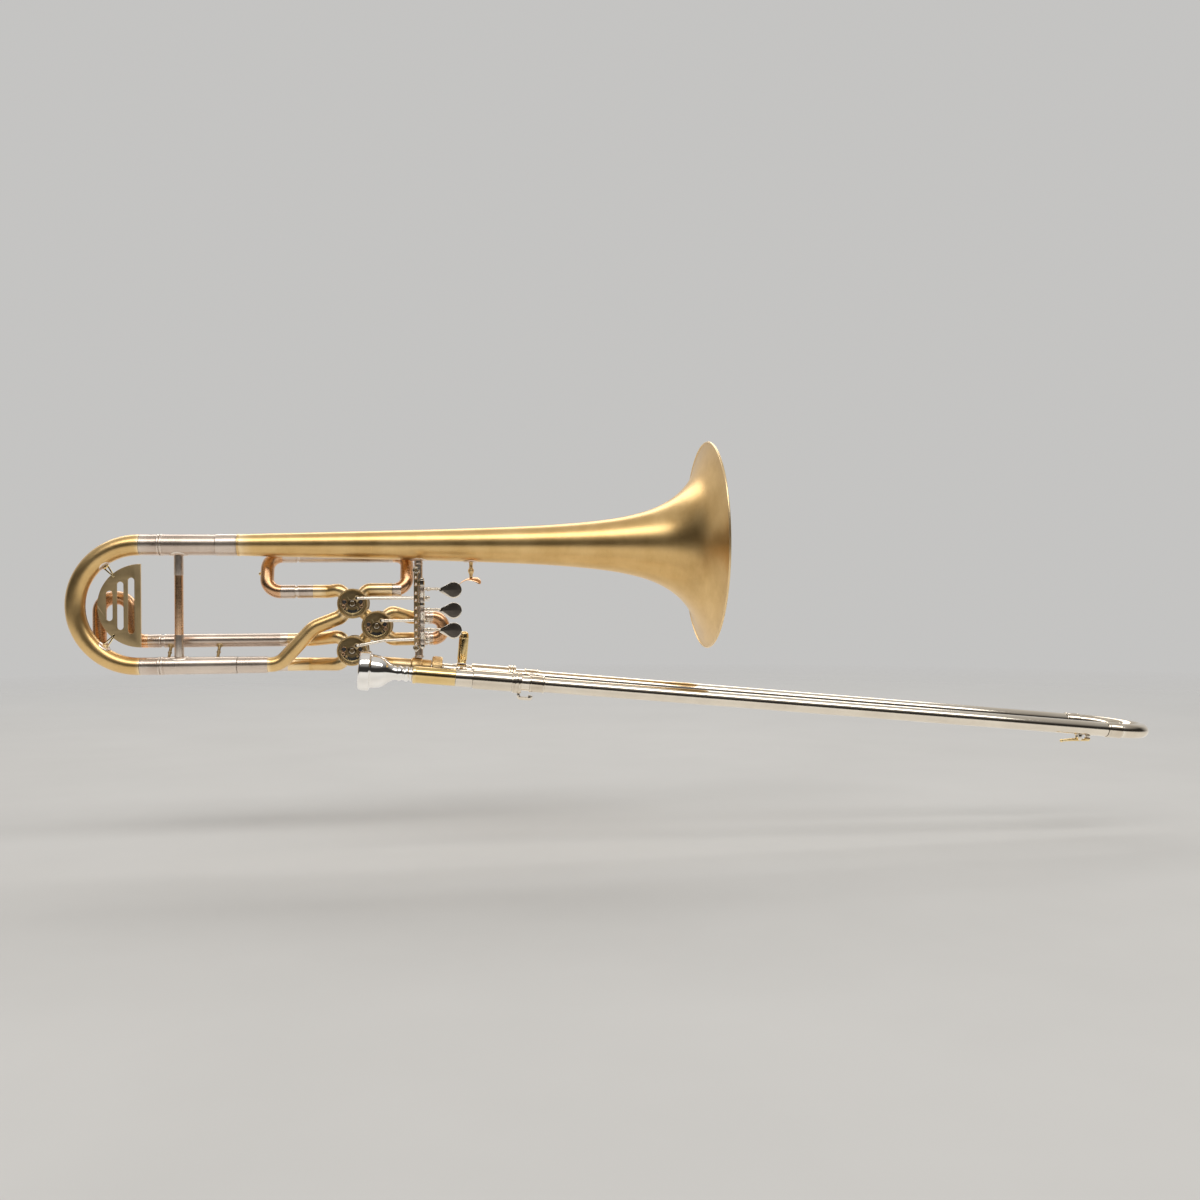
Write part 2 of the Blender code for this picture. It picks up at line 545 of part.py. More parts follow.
neck_start = on_slide(-74.0)
neck_line = route([port(3, 1.0, -1.0, PORT), port(3, 1.0, -1.0, PORT + 5.0) + (11.0,),
                   tuple(neck_start) + (8.0,),
                   tuple(on_slide(-58.0))], steps=2)
receiver_line = [on_slide(-56.0), on_slide(-56.0), on_slide(-44.5), on_slide(-44.5), on_slide(NECK_END)]
neck_outer = [7.4 + 1.4 * min(1.0, i / 9.0) for i in range(len(neck_line))]
receiver_outer = [RECEIVER_RADIUS - 1.2, RECEIVER_RADIUS, RECEIVER_RADIUS, RECEIVER_RADIUS - 0.9,
                  RECEIVER_RADIUS - 1.1]
receiver_bore = [NUT_BORE + 0.6, NUT_BORE + 0.6, NUT_BORE + 0.4, NUT_BORE + 0.4, NUT_BORE + 0.3]
bent_pipe("neckpipe", neck_line + receiver_line, neck_outer + receiver_outer,
          [r - 0.8 for r in neck_outer] + receiver_bore, "satin_brass", sides=16)

# ---------------------------------------------------------------- stanchion, hook and hand post
FLANGE_RADIUS = 7.6
bell_under = -bell_radius(STANCHION_X + FLANGE_RADIUS) - GAP
neck_over = on_slide(-47.0).z + RECEIVER_RADIUS + GAP + 0.4
lathe("bell_stanchion",
      [(0.0, bell_under), (FLANGE_RADIUS, bell_under), (FLANGE_RADIUS, bell_under - 1.1),
       (4.3, bell_under - 2.4),
       (4.3, neck_over + 1.6), (5.2, neck_over + 0.9), (5.2, neck_over), (0.0, neck_over)],
      "satin_nickel", where=(STANCHION_X, 0.0, 0.0), axis="Z", closed=False, steps=14)
HOOK_X = -251.0
hook_top = -bell_radius(HOOK_X + FLANGE_RADIUS) - GAP
lathe("finger_hook_post",
      [(0.0, hook_top), (FLANGE_RADIUS, hook_top), (FLANGE_RADIUS, hook_top - 0.9), (2.0, hook_top - 2.2),
       (2.0, hook_top - 6.8), (3.2, hook_top - 8.2), (3.2, hook_top - 10.4), (1.9, hook_top - 12.0),
       (1.9, -33.6), (0.0, -33.6)],
      "satin_brass", where=(HOOK_X, 0.0, 0.0), axis="Z", closed=False, steps=16)
hook_outline = (arc((0.0, -49.0), 15.0, 148.0, 32.0, 8) + arc((0.0, -49.6), 12.6, 30.0, 150.0, 8))
prism("finger_hook", hook_outline, -6.0, 6.0, "rose_brass", where=(HOOK_X, 0.0, 0.0), turn=TURNS["-Y"])

# ---------------------------------------------------------------- lever rack, levers and link rods
column_left = HINGE_X - 8.0
column_right = HINGE_X - 3.8
rack = block("lever_rack", (column_left, HINGE_Y - 3.0, -107.6), (column_right, HINGE_Y + 3.0, -23.6),
             "satin_nickel")
LUGS = ((-43.0, -37.5), (-63.4, -59.6), (-83.7, -82.4), (-105.0, -101.6))
for number, (low, high) in enumerate(LUGS):
    lug = block("lug_%d" % (number + 1), (column_right - 1.0, HINGE_Y - 2.8, low),
                (HINGE_X + 2.9, HINGE_Y + 2.8, high), "satin_nickel", cutter=True)
    combine(rack, lug, "UNION")
for number, level in enumerate((-28.0, -105.2)):
    arm = block("rack_arm_%d" % (number + 1), (column_left + 0.8, HINGE_Y + 2.0, level - 2.0),
                (column_left + 6.4, -4.3 - GAP - 0.4, level + 2.0), "satin_nickel", cutter=True)
    combine(rack, arm, "UNION")
pin_hole = lathe("pin_hole", rod_profile(-110.0, -30.0, PIN_RADIUS + 0.1), "satin_nickel",
                 where=(HINGE_X, HINGE_Y, 0.0), axis="Z", closed=False, steps=12, cutter=True)
combine(rack, pin_hole, "DIFFERENCE")
lathe("lever_hinge_pin",
      [(0.0, -34.5), (2.4, -34.5), (2.4, -37.2), (PIN_RADIUS, -37.2), (PIN_RADIUS, -106.2), (0.0, -106.2)],
      "polished_nickel", where=(HINGE_X, HINGE_Y, 0.0), axis="Z", closed=False, steps=12)

PADDLE_X = 31.5
PADDLE_RADIUS = 8.2
paddle_outline = [(17.0, 1.1), (19.5, 2.2)]
paddle_outline += reversed(arc((PADDLE_X, 0.0), PADDLE_RADIUS, -128.0, 128.0, 14))
paddle_outline += [(19.5, -2.2), (17.0, -1.1)]
arm_angle = 90.0 - math.degrees(LEVER_SWING) / 2.0
for number in range(3):
    title = "lever_%d" % (number + 1)
    stem = STEM_LEVELS[number]
    rod_level = ROD_LEVELS[number]
    top = stem + 2.8
    bottom = rod_level - 4.3
    pivot = (HINGE_X, HINGE_Y, 0.0)
    lever = lathe(title, pipe_profile(bottom, top, LEVER_BARREL_RADIUS, BARREL_BORE), "polished_nickel",
                  where=pivot, axis="Z", steps=16)
    shank = block(title + "_shank", (2.3, -1.0, stem - 1.4), (18.5, 1.0, stem + 1.4), "polished_nickel",
                  cutter=True, where=pivot)
    combine(lever, shank, "UNION")
    paddle = prism(title + "_paddle", paddle_outline, -0.9, 0.95, "polished_nickel",
                   where=(HINGE_X, HINGE_Y, stem - 1.2), turn=TURNS["-Y"], cutter=True)
    combine(lever, paddle, "UNION")
    arm_outline = [(2.2, -1.5)] + arc((LEVER_ARM, 0.0), 2.5, -90.0, 90.0, 5) + [(2.2, 1.5)]
    arm = prism(title + "_arm", arm_outline, rod_level - 3.7, rod_level - 1.5, "polished_nickel",
                where=pivot, turn=(0.0, 0.0, math.radians(arm_angle)), cutter=True)
    combine(lever, arm, "UNION")

tip_x = HINGE_X + LEVER_ARM * math.sin(LEVER_SWING / 2.0)
ball_offset = CRANK_RADIUS * math.sin(math.radians(45.0))
for number, (valve_x, valve_z) in enumerate(VALVE_CENTRES):
    title = "link_rod_%d" % (number + 1)
    ball = Vector((valve_x + ball_offset, ROD_Y, valve_z + ball_offset))
    tip = Vector((tip_x, ROD_Y, ROD_LEVELS[number]))
    if number == 2:
        run = [ball, Vector((-338.0, ROD_Y, -97.4)), Vector((-330.0, ROD_Y, -96.8)), tip]
    else:
        run = [ball, tip]
    line = bpy.data.curves.new(title, "CURVE")
    line.dimensions = "3D"
    line.bevel_depth = 1.15 * MM
    line.bevel_resolution = 2
    line.use_fill_caps = True
    spline = line.splines.new("POLY")
    spline.points.add(len(run) - 1)
    for point, corner in zip(spline.points, run):
        point.co = (corner.x * MM, corner.y * MM, corner.z * MM, 1.0)
    holder = bpy.data.objects.new(title + "_line", line)
    PARTS.objects.link(holder)
    bpy.context.view_layer.update()
    mesh = bpy.data.meshes.new_from_object(holder.evaluated_get(bpy.context.evaluated_depsgraph_get()))
    bpy.data.objects.remove(holder, do_unlink=True)
    clean = bmesh.new()
    clean.from_mesh(mesh)
    bmesh.ops.remove_doubles(clean, verts=clean.verts, dist=0.00001)
    for vertex in clean.verts:
        vertex.co /= MM
    bmesh.ops.recalc_face_normals(clean, faces=clean.faces)
    clean.to_mesh(mesh)
    clean.free()
    rod = place(title, mesh, "polished_brass")
    eye = lathe(title + "_eye", rod_profile(24.4, 27.6, 2.7), "polished_brass",
                where=(ball.x, 0.0, ball.z), axis="-Y", closed=False, steps=14, cutter=True)
    combine(rod, eye, "UNION")
    fork = lathe(title + "_fork", rod_profile(tip.z - 1.1, tip.z + 1.6, 2.6), "polished_brass",
                 where=(tip.x, tip.y, 0.0), axis="Z", closed=False, steps=14, cutter=True)
    combine(rod, fork, "UNION")

# ---------------------------------------------------------------- hand slide, fixed half
NEAR = -SLIDE_SPACING
sleeve_radius = SLIDE_INNER_RADIUS + 1.35
lathe("near_inner_tube",
      [(SLIDE_INNER_RADIUS, INNER_END), (SLIDE_INNER_RADIUS, 6.1), (sleeve_radius, 6.1), (sleeve_radius, -10.1),
       (SLIDE_TUBE_BORE, -10.1), (SLIDE_TUBE_BORE, INNER_END)],
      "polished_nickel", where=(0.0, NEAR, 0.0), frame=SLIDE_FRAME)
lathe("far_inner_tube",
      [(SLIDE_INNER_RADIUS, INNER_END), (SLIDE_INNER_RADIUS, -22.0), (NUT_BORE - 0.5, -22.0),
       (NUT_BORE - 0.1, -54.0), (SLIDE_TUBE_BORE, -54.0), (SLIDE_TUBE_BORE, INNER_END)],
      "polished_nickel", frame=SLIDE_FRAME)
lathe("mouthpiece_receiver",
      [(8.25, -10.4), (8.25, -48.6), (8.9, -49.0), (8.9, -51.2), (5.8, -51.2), (5.8, -10.4)],
      "polished_brass", where=(0.0, NEAR, 0.0), frame=SLIDE_FRAME)
barrel_section = [(BARREL_RADIUS, BARREL_END), (BARREL_RADIUS, BARREL_START),
                  (SLIDE_INNER_RADIUS + 0.15, BARREL_START), (SLIDE_INNER_RADIUS + 0.15, BARREL_START + 3.0),
                  (SLIDE_OUTER_RADIUS + 0.45, BARREL_START + 3.0), (SLIDE_OUTER_RADIUS + 0.45, BARREL_END)]
lathe("near_cork_barrel", barrel_section, "polished_nickel", where=(0.0, NEAR, 0.0), frame=SLIDE_FRAME)
far_section = ([(BARREL_RADIUS + 1.6, 52.7), (BARREL_RADIUS + 1.6, BARREL_END)] + barrel_section[:-1]
               + [(SLIDE_OUTER_RADIUS + 0.45, 52.7)])
lathe("far_cork_barrel", far_section, "polished_nickel", frame=SLIDE_FRAME)

lock_radius = BARREL_RADIUS + 1.4
lock = lathe("slide_lock_ring",
             [(lock_radius, 54.0), (lock_radius, 48.0), (lock_radius - 0.5, 47.6),
              (lock_radius - 0.5, BARREL_END + GAP),
              (SLIDE_OUTER_RADIUS + 0.35, BARREL_END + GAP), (SLIDE_OUTER_RADIUS + 0.35, 54.0)],
             "polished_nickel", where=(0.0, NEAR, 0.0), frame=SLIDE_FRAME)
lock_tab = block("lock_tab", (50.5, NEAR - 2.0, -lock_radius - 5.8), (66.0, NEAR + 2.0, -lock_radius + 1.3),
                 "polished_nickel", frame=SLIDE_FRAME, cutter=True)
combine(lock, lock_tab, "UNION")

lathe("lock_nut",
      [(12.6, -23.7), (13.3, -24.6), (13.3, -34.0), (12.6, -34.7), (NUT_BORE + 0.1, -34.7), (NUT_BORE, -23.7)],
      "satin_brass", frame=SLIDE_FRAME)

brace_half = SLIDE_SPACING / 2.0
clamp_radius = sleeve_radius + GAP
inner_brace = lathe("inner_brace", rod_profile(clamp_radius - 0.6, SLIDE_SPACING - clamp_radius, 4.2),
                    "polished_nickel", where=(-4.0, 0.0, 0.0), axis="-Y", frame=SLIDE_FRAME, closed=False,
                    steps=12)
inner_clamp = lathe("inner_clamp", pipe_profile(-9.5, 1.5, clamp_radius, SLIDE_INNER_RADIUS + 0.1),
                    "polished_nickel", frame=SLIDE_FRAME, steps=16, cutter=True)
combine(inner_brace, inner_clamp, "UNION")
post_foot = clamp_radius + GAP
lathe("hand_post",
      [(0.0, 42.0), (2.8, 41.3), (4.5, 39.4), (5.1, 36.5), (5.1, post_foot + 2.1), (4.4, post_foot + 1.0),
       (4.4, post_foot), (0.0, post_foot)],
      "polished_brass", where=(-4.0, 0.0, 0.0), axis="Z", frame=SLIDE_FRAME, closed=False, steps=14)

lathe("mouthpiece",
      [(5.45, -30.0), (5.6, -51.5), (6.9, -51.8), (7.6, -57.5), (6.8, -61.0), (7.6, -64.5), (7.2, -69.5),
       (10.5, -75.5), (14.6, -81.0), (16.6, -91.3), (19.2, -93.0), (19.2, -100.0), (16.0, -102.7),
       (13.2, -100.6), (12.5, -94.0), (10.2, -84.5), (3.6, -76.0), (4.6, -30.0)],
      "silver_plate", where=(0.0, NEAR, 0.0), frame=SLIDE_FRAME)

# ---------------------------------------------------------------- hand slide, moving half
near_outer = lathe("near_outer_tube",
                   pipe_profile(SLIDE_TOP, SLIDE_TUBE_END, SLIDE_OUTER_RADIUS, SLIDE_OUTER_BORE),
                   "polished_nickel", where=(0.0, NEAR, 0.0), frame=SLIDE_FRAME)
lathe("far_outer_tube",
      pipe_profile(SLIDE_TOP, SLIDE_TUBE_END, SLIDE_OUTER_RADIUS, SLIDE_OUTER_BORE),
      "polished_nickel", frame=SLIDE_FRAME)
nipple_x = SLIDE_TUBE_END - 19.2
nipple = lathe("water_nipple", pipe_profile(-SLIDE_OUTER_RADIUS - 2.2, -SLIDE_OUTER_RADIUS + 0.15, 2.6, 1.5),
               "polished_nickel", where=(nipple_x, NEAR, 0.0), axis="Z", frame=SLIDE_FRAME, steps=12, cutter=True)
combine(near_outer, nipple, "UNION")
KEY_PIVOT_X = nipple_x - 10.0
KEY_PIVOT_Z = -SLIDE_OUTER_RADIUS - 4.2
for number, side in enumerate((-1.0, 1.0)):
    ear = block("key_ear_%d" % (number + 1), (-2.0, side * 3.2 - 0.7, KEY_PIVOT_Z - 1.8),
                (2.0, side * 3.2 + 0.7, -SLIDE_OUTER_RADIUS + 0.65), "polished_nickel", frame=SLIDE_FRAME,
                cutter=True, where=(KEY_PIVOT_X, NEAR, 0.0))
    combine(near_outer, ear, "UNION")

end_line = [Vector((SLIDE_TUBE_END + GAP, NEAR, 0.0)), Vector((BOW_BEGIN, NEAR, 0.0))]
end_bow = [Vector((BOW_BEGIN + brace_half * math.sin(math.pi * i / 10), -brace_half - brace_half
                   * math.cos(math.pi * i / 10), 0.0)) for i in range(11)]
end_far = [Vector((BOW_BEGIN, 0.0, 0.0)), Vector((SLIDE_TUBE_END + GAP, 0.0, 0.0))]
bent_pipe("end_bow", end_line + end_bow + end_far,
          [FERRULE_RADIUS] * 2 + [SLIDE_OUTER_RADIUS] * len(end_bow) + [FERRULE_RADIUS] * 2,
          SLIDE_OUTER_BORE - 0.3, "polished_nickel", frame=SLIDE_FRAME)
bumper_seat = BOW_BEGIN + brace_half + SLIDE_OUTER_RADIUS
lathe("end_bumper",
      rod_profile(bumper_seat + GAP, bumper_seat + 5.6, 4.6),
      "black_rubber", where=(0.0, -brace_half, 0.0), frame=SLIDE_FRAME, closed=False, steps=16)

OUTER_BRACE = 69.0
rod_start = SLIDE_OUTER_RADIUS + 0.6
outer_brace = lathe("outer_brace", rod_profile(rod_start, SLIDE_SPACING - rod_start, 4.2), "polished_nickel",
                    where=(OUTER_BRACE, 0.0, 0.0), axis="-Y", frame=SLIDE_FRAME, closed=False, steps=16)
for name, level in (("outer_clamp_far", 0.0), ("outer_clamp_near", NEAR)):
    clamp = lathe(name, pipe_profile(OUTER_BRACE - 7.5, OUTER_BRACE + 7.5, SLIDE_OUTER_RADIUS + 1.3,
                                     SLIDE_OUTER_RADIUS + 0.1),
                  "polished_nickel", where=(0.0, level, 0.0), frame=SLIDE_FRAME, steps=16, cutter=True)
    combine(outer_brace, clamp, "UNION")

water_key = block("water_key", (-20.0, -2.0, -2.2), (12.0, 2.0, -0.4), "polished_brass", frame=SLIDE_FRAME,
                  where=(KEY_PIVOT_X, NEAR, KEY_PIVOT_Z))
key_hub = lathe("key_hub", rod_profile(-2.1, 2.1, 1.7), "polished_brass",
                where=(KEY_PIVOT_X, NEAR, KEY_PIVOT_Z), axis="-Y", frame=SLIDE_FRAME, closed=False, steps=12,
                cutter=True)
combine(water_key, key_hub, "UNION")
key_pad = lathe("key_pad", rod_profile(-1.2, 1.7, 3.2), "polished_brass",
                where=(nipple_x, NEAR, KEY_PIVOT_Z), axis="Z", frame=SLIDE_FRAME, closed=False, steps=14,
                cutter=True)
combine(water_key, key_pad, "UNION")
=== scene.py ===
import json
import math

import bmesh
import bpy
import numpy as np
from mathutils import Matrix, Vector


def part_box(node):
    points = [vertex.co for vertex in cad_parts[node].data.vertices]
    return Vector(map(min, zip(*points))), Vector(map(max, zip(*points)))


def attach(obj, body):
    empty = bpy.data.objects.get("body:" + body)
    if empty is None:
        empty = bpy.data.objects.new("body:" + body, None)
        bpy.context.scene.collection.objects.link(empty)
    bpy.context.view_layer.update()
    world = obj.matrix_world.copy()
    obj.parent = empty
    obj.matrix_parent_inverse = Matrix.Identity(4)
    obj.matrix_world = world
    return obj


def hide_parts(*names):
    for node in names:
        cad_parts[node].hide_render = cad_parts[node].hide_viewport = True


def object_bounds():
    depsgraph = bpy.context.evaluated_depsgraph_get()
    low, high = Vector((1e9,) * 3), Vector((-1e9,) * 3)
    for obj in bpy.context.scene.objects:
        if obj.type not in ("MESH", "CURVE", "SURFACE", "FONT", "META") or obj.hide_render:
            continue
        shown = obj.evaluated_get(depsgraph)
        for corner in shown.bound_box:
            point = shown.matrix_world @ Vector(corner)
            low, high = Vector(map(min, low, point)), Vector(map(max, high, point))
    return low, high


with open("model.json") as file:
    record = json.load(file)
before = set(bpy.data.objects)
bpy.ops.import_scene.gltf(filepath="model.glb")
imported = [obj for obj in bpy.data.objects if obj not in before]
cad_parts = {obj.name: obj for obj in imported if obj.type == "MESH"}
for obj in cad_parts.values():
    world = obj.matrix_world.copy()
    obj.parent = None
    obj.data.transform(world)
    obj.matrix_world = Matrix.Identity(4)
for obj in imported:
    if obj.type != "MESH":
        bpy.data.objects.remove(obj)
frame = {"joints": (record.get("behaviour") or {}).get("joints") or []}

CAD_BOX = [list(corner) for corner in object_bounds()]
MM = 0.001

# ---- the two frames
BELL_LENGTH = 486.6
bell_low, bell_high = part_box("bell")
BELL = Matrix.Translation((bell_low.x + BELL_LENGTH * MM, (bell_low.y + bell_high.y) / 2,
    (bell_low.z + bell_high.z) / 2))
JOINTS = {joint["name"]: joint for joint in frame["joints"]}
slide_x = Vector(JOINTS["hand_slide_out"]["axis"]).normalized()
slide_y = Vector(JOINTS["water_key_press"]["axis"]).normalized()
SLIDE = Matrix((slide_x, slide_y, slide_x.cross(slide_y))).transposed().to_4x4()

# ---- sizes shared by several pieces
LEG_DROP = 122
BOW_RADIUS = 61
BOW_X = -581.8
BOW_LEAD = 1.5
UPPER_SLEEVE = 10.55
LOWER_SLEEVE = 8.75
UPPER_LEG = 9.75
LOWER_LEG = 8
SLEEVE_OPEN = -561.5
VALVE_CENTRES = ((-371.1, -60.2), (-347, -83.1), (-371.7, -108.2))
CASING_RADIUS = 14.2
CAP_RADIUS = 15.2
CRANK = 7.6
STUD = CRANK * math.sin(math.radians(45))
DIAGONAL = math.sqrt(0.5)
VALVE_TUBE = 6.8
VALVE_BORE = 6.1
VALVE_LEG = 5.83
PORT = 14.5
ELBOW = PORT + 5.4
ELBOW_BEND = 7
HINGE_X = -301
ROD_Y = -26.2
LEVER_SWING = math.radians(40)
LEVER_ARM = STUD / math.sin(LEVER_SWING / 2)
HINGE_Y = ROD_Y - LEVER_ARM * math.cos(LEVER_SWING / 2)
STEM_LEVELS = (-46, -66.6, -86.8)
ROD_LEVELS = (-60.2 + STUD, -83.1 + STUD, -96.8)
NEAR = -82.6
TUBE_RADIUS = 7.4
TUBE_END = 667.2
BOW_BEGIN = 684.8

X = (1, 0, 0)
Y = (0, 1, 0)
Z = (0, 0, 1)
OUT = (0, -1, 0)
DOWN = (0, 0, -1)
SHARP = math.radians(38)


# ---- shapes: (points, faces, grain) in millimetres
def basis(along):
    """Matrix whose first column is the axis, with two square side directions."""
    first = Vector(along).normalized()
    second = Vector((0, 0, 1)) if abs(first.z) < 0.9 else Vector((1, 0, 0))
    second = (second - first * second.dot(first)).normalized()
    return np.array([first, second, first.cross(second)]).T


def rounded(profile, edge, closed):
    """The profile with its sharp corners turned into small arcs."""
    points = [np.array(point, float) for point in profile]
    result = []
    for i, here in enumerate(points):
        if not closed and i in (0, len(points) - 1):
            result.append(here)
            continue
        before = points[i - 1] - here
        after = points[(i + 1) % len(points)] - here
        a, b = np.linalg.norm(before), np.linalg.norm(after)
        turn = math.pi - math.acos(max(-1, min(1, float(before @ after) / (a * b))))
        if turn < math.radians(22):
            result.append(here)
            continue
        trim = min(edge, 0.42 * a, 0.42 * b)
        start, end = here + before / a * trim, here + after / b * trim
        for t in (0, 0.33, 0.67, 1):
            result.append((1 - t) ** 2 * start + 2 * t * (1 - t) * here + t * t * end)
    return result


def rings(sections, grain, closed, sides):
    """Faces between rings of points; a ring of one point is a pole."""
    points, coords, starts = [], [], []
    for section, marks in zip(sections, grain):
        starts.append(len(points))
        points.extend(section)
        coords.extend(marks)
    faces = []
    count = len(sections)
    for a in range(count if closed else count - 1):
        b = (a + 1) % count
        one, two = starts[a], starts[b]
        for k in range(sides):
            n = (k + 1) % sides
            if len(sections[a]) == 1 and len(sections[b]) == 1:
                continue
            if len(sections[a]) == 1:
                faces.append((one, two + n, two + k))
            elif len(sections[b]) == 1:
                faces.append((one + k, one + n, two))
            else:
                faces.append((one + k, one + n, two + n, two + k))
    return np.array(points), faces, np.array(coords)


def turned(profile, at=(0, 0, 0), along=X, sides=64, edge=0.25):
    """Turned piece from (radius, height) pairs: a ring of wall, or a solid if its line ends on the axis."""
    closed = profile[0][0] > 1e-6 and profile[-1][0] > 1e-6
    line = rounded(profile, edge, closed) if edge else [np.array(p, float) for p in profile]
    turn = basis(along)
    spin = np.arange(sides) * 2 * math.pi / sides
    sections, marks = [], []
    run = 0
    for i, (radius, height) in enumerate(line):
        run += float(np.linalg.norm(line[i] - line[i - 1])) if i else 0
        angles = spin if radius > 1e-6 else spin[:1]
        local = np.stack([np.full(len(angles), height), radius * np.cos(angles), radius * np.sin(angles)], 1)
        sections.append(local @ turn.T + np.array(at))
        marks.append(np.stack([np.full(len(angles), run), local[:, 1], local[:, 2]], 1))
    return rings(sections, marks, closed, sides)


def walled(profile, bore):
    """Turning profile of a wall: an outside line closed by a bore."""
    return profile + [(bore, profile[-1][1]), (bore, profile[0][1])]


def solid(profile):
    """Turning profile of a solid: an outside line closed on its axis at both ends."""
    return [(0, profile[0][1])] + profile + [(0, profile[-1][1])]


def tube(start, end, outer, bore):
    """Turning profile of a straight pipe wall."""
    return walled([(outer, start), (outer, end)], bore)


def bend(corners, step=1.6):
    """Centre line through corners (x, y, z, bend radius), each bend a circular arc."""
    points = [Vector(corners[0][:3])]
    for before, corner, after in zip(corners, corners[1:], corners[2:]):
        here = Vector(corner[:3])
        back = (Vector(before[:3]) - here).normalized()
        ahead = (Vector(after[:3]) - here).normalized()
        half = back.angle(ahead) / 2
        trim = corner[3] / math.tan(half)
        middle = (back + ahead).normalized()
        centre = here + middle * (corner[3] / math.sin(half))
        first = here + back * trim - centre
        last = here + ahead * trim - centre
        sweep = first.angle(last)
        steps = max(3, int(sweep * corner[3] / step))
        for i in range(steps + 1):
            part = i / steps
            spoke = first * math.sin((1 - part) * sweep) + last * math.sin(part * sweep)
            points.append(centre + spoke / math.sin(sweep))
    points.append(Vector(corners[-1][:3]))
    return points


def pipe(line, outer, bore=None, sides=40):
    """Pipe or rod along a centre line; outer and bore are a number or one number a point."""
    line = [Vector(p) for p in line]
    count = len(line)
    outers = list(outer) if hasattr(outer, "__len__") else [outer] * count
    bores = None if bore is None else (list(bore) if hasattr(bore, "__len__") else [bore] * count)
    tangents = []
    for i in range(count):
        low, high = i, i
        while low > 0 and (line[i] - line[low]).length < 1e-4:
            low -= 1
        while high < count - 1 and (line[high] - line[i]).length < 1e-4:
            high += 1
        tangents.append((line[high] - line[low]).normalized())
    side = tangents[0].orthogonal().normalized()
    frames, runs, run = [], [], 0
    for i, tangent in enumerate(tangents):
        side = (side - tangent * side.dot(tangent)).normalized()
        frames.append((np.array(side), np.array(tangent.cross(side))))
        run += (line[i] - line[i - 1]).length if i else 0
        runs.append(run)
    spin = np.arange(sides) * 2 * math.pi / sides

    def ring(i, radius):
        a, b = frames[i]
        spokes = np.outer(np.cos(spin), a) + np.outer(np.sin(spin), b)
        return np.array(line[i]) + spokes * radius

    def mark(i, radius):
        return np.stack([np.full(sides, runs[i]), radius * np.cos(spin), radius * np.sin(spin)], 1)

    sections = [ring(i, outers[i]) for i in range(count)]
    marks = [mark(i, outers[i]) for i in range(count)]
    if bores is None:
        sections = [np.array([line[0]])] + sections + [np.array([line[-1]])]
        marks = [np.array([[0, 0, 0]])] + marks + [np.array([[runs[-1], 0, 0]])]
        return rings(sections, marks, False, sides)
    sections += [ring(i, bores[i]) for i in reversed(range(count))]
    marks += [mark(i, bores[i]) for i in reversed(range(count))]
    return rings(sections, marks, True, sides)


def ball(radius, at, along=Z, sides=32):
    """Round ball from fourteen bands."""
    profile = [(radius * math.sin(math.pi * i / 14), -radius * math.cos(math.pi * i / 14)) for i in range(15)]
    profile[0] = (0, profile[0][1])
    profile[-1] = (0, profile[-1][1])
    return turned(profile, at, along, sides, 0)


def coil(radius, wire, turns, at, along, length):
    """Coil spring round an axis, closed at both ends."""
    turn = basis(along)
    steps = int(turns * 20)
    line = []
    for i in range(steps + 1):
        angle = 2 * math.pi * turns * i / steps
        local = np.array([length * i / steps, radius * math.cos(angle), radius * math.sin(angle)])
        line.append(Vector(turn @ local + np.array(at)))
    return pipe(line, wire, None, 10)


def saddle(tube_radius, half_length, half_width, at, along, outward, thick=0.8):
    """Flange soldered round a tube: an ellipse wrapped on it, thick in the middle with a soft edge."""
    axis = np.array(Vector(along).normalized())
    up = np.array(Vector(outward).normalized())
    side = np.cross(axis, up)
    sides = 40
    spin = np.arange(sides) * 2 * math.pi / sides

    def ring(share, radius):
        s = np.cos(spin) * half_length * share
        angle = np.sin(spin) * half_width * share / tube_radius
        return (np.array(at) + np.outer(s, axis) + np.outer(np.sin(angle) * radius, side)
            + np.outer(np.cos(angle) * radius, up))

    levels = [(1e-3, thick), (0.25, thick), (0.6, thick), (0.84, thick * 0.85), (0.95, thick * 0.6),
        (1, thick * 0.2), (1, 0.03), (0.6, 0.03), (0.25, 0.03), (1e-3, 0.03)]
    sections = [ring(share, tube_radius + level) for share, level in levels]
    sections[0] = sections[0].mean(0, keepdims=True)
    sections[-1] = sections[-1].mean(0, keepdims=True)
    marks = [section - np.array(at) for section in sections]
    return rings(sections, marks, False, sides)


def plate(outline, thick, edge, at, turn, holes=()):
    """Flat plate from a closed outline with holes and rounded edges; turn carries its plane into place."""
    curve = bpy.data.curves.new("outline", "CURVE")
    curve.dimensions = "2D"
    curve.fill_mode = "BOTH"
    curve.extrude = thick / 2 - edge
    curve.bevel_depth = edge
    curve.bevel_resolution = 2
    curve.offset = -edge
    for line in (outline,) + tuple(holes):
        spline = curve.splines.new("POLY")
        spline.points.add(len(line) - 1)
        for point, (x, y) in zip(spline.points, line):
            point.co = (x, y, 0, 1)
        spline.use_cyclic_u = True
    holder = bpy.data.objects.new("outline", curve)
    bpy.context.scene.collection.objects.link(holder)
    bpy.context.view_layer.update()
    mesh = bpy.data.meshes.new_from_object(holder.evaluated_get(bpy.context.evaluated_depsgraph_get()))
    bpy.data.objects.remove(holder, do_unlink=True)
    bpy.data.curves.remove(curve)
    form = bmesh.new()
    form.from_mesh(mesh)
    bmesh.ops.remove_doubles(form, verts=form.verts, dist=0.001)
    points = np.array([v.co for v in form.verts])
    faces = [tuple(v.index for v in f.verts) for f in form.faces]
    form.free()
    bpy.data.meshes.remove(mesh)
    return points @ np.array(turn).T + np.array(at), faces, points


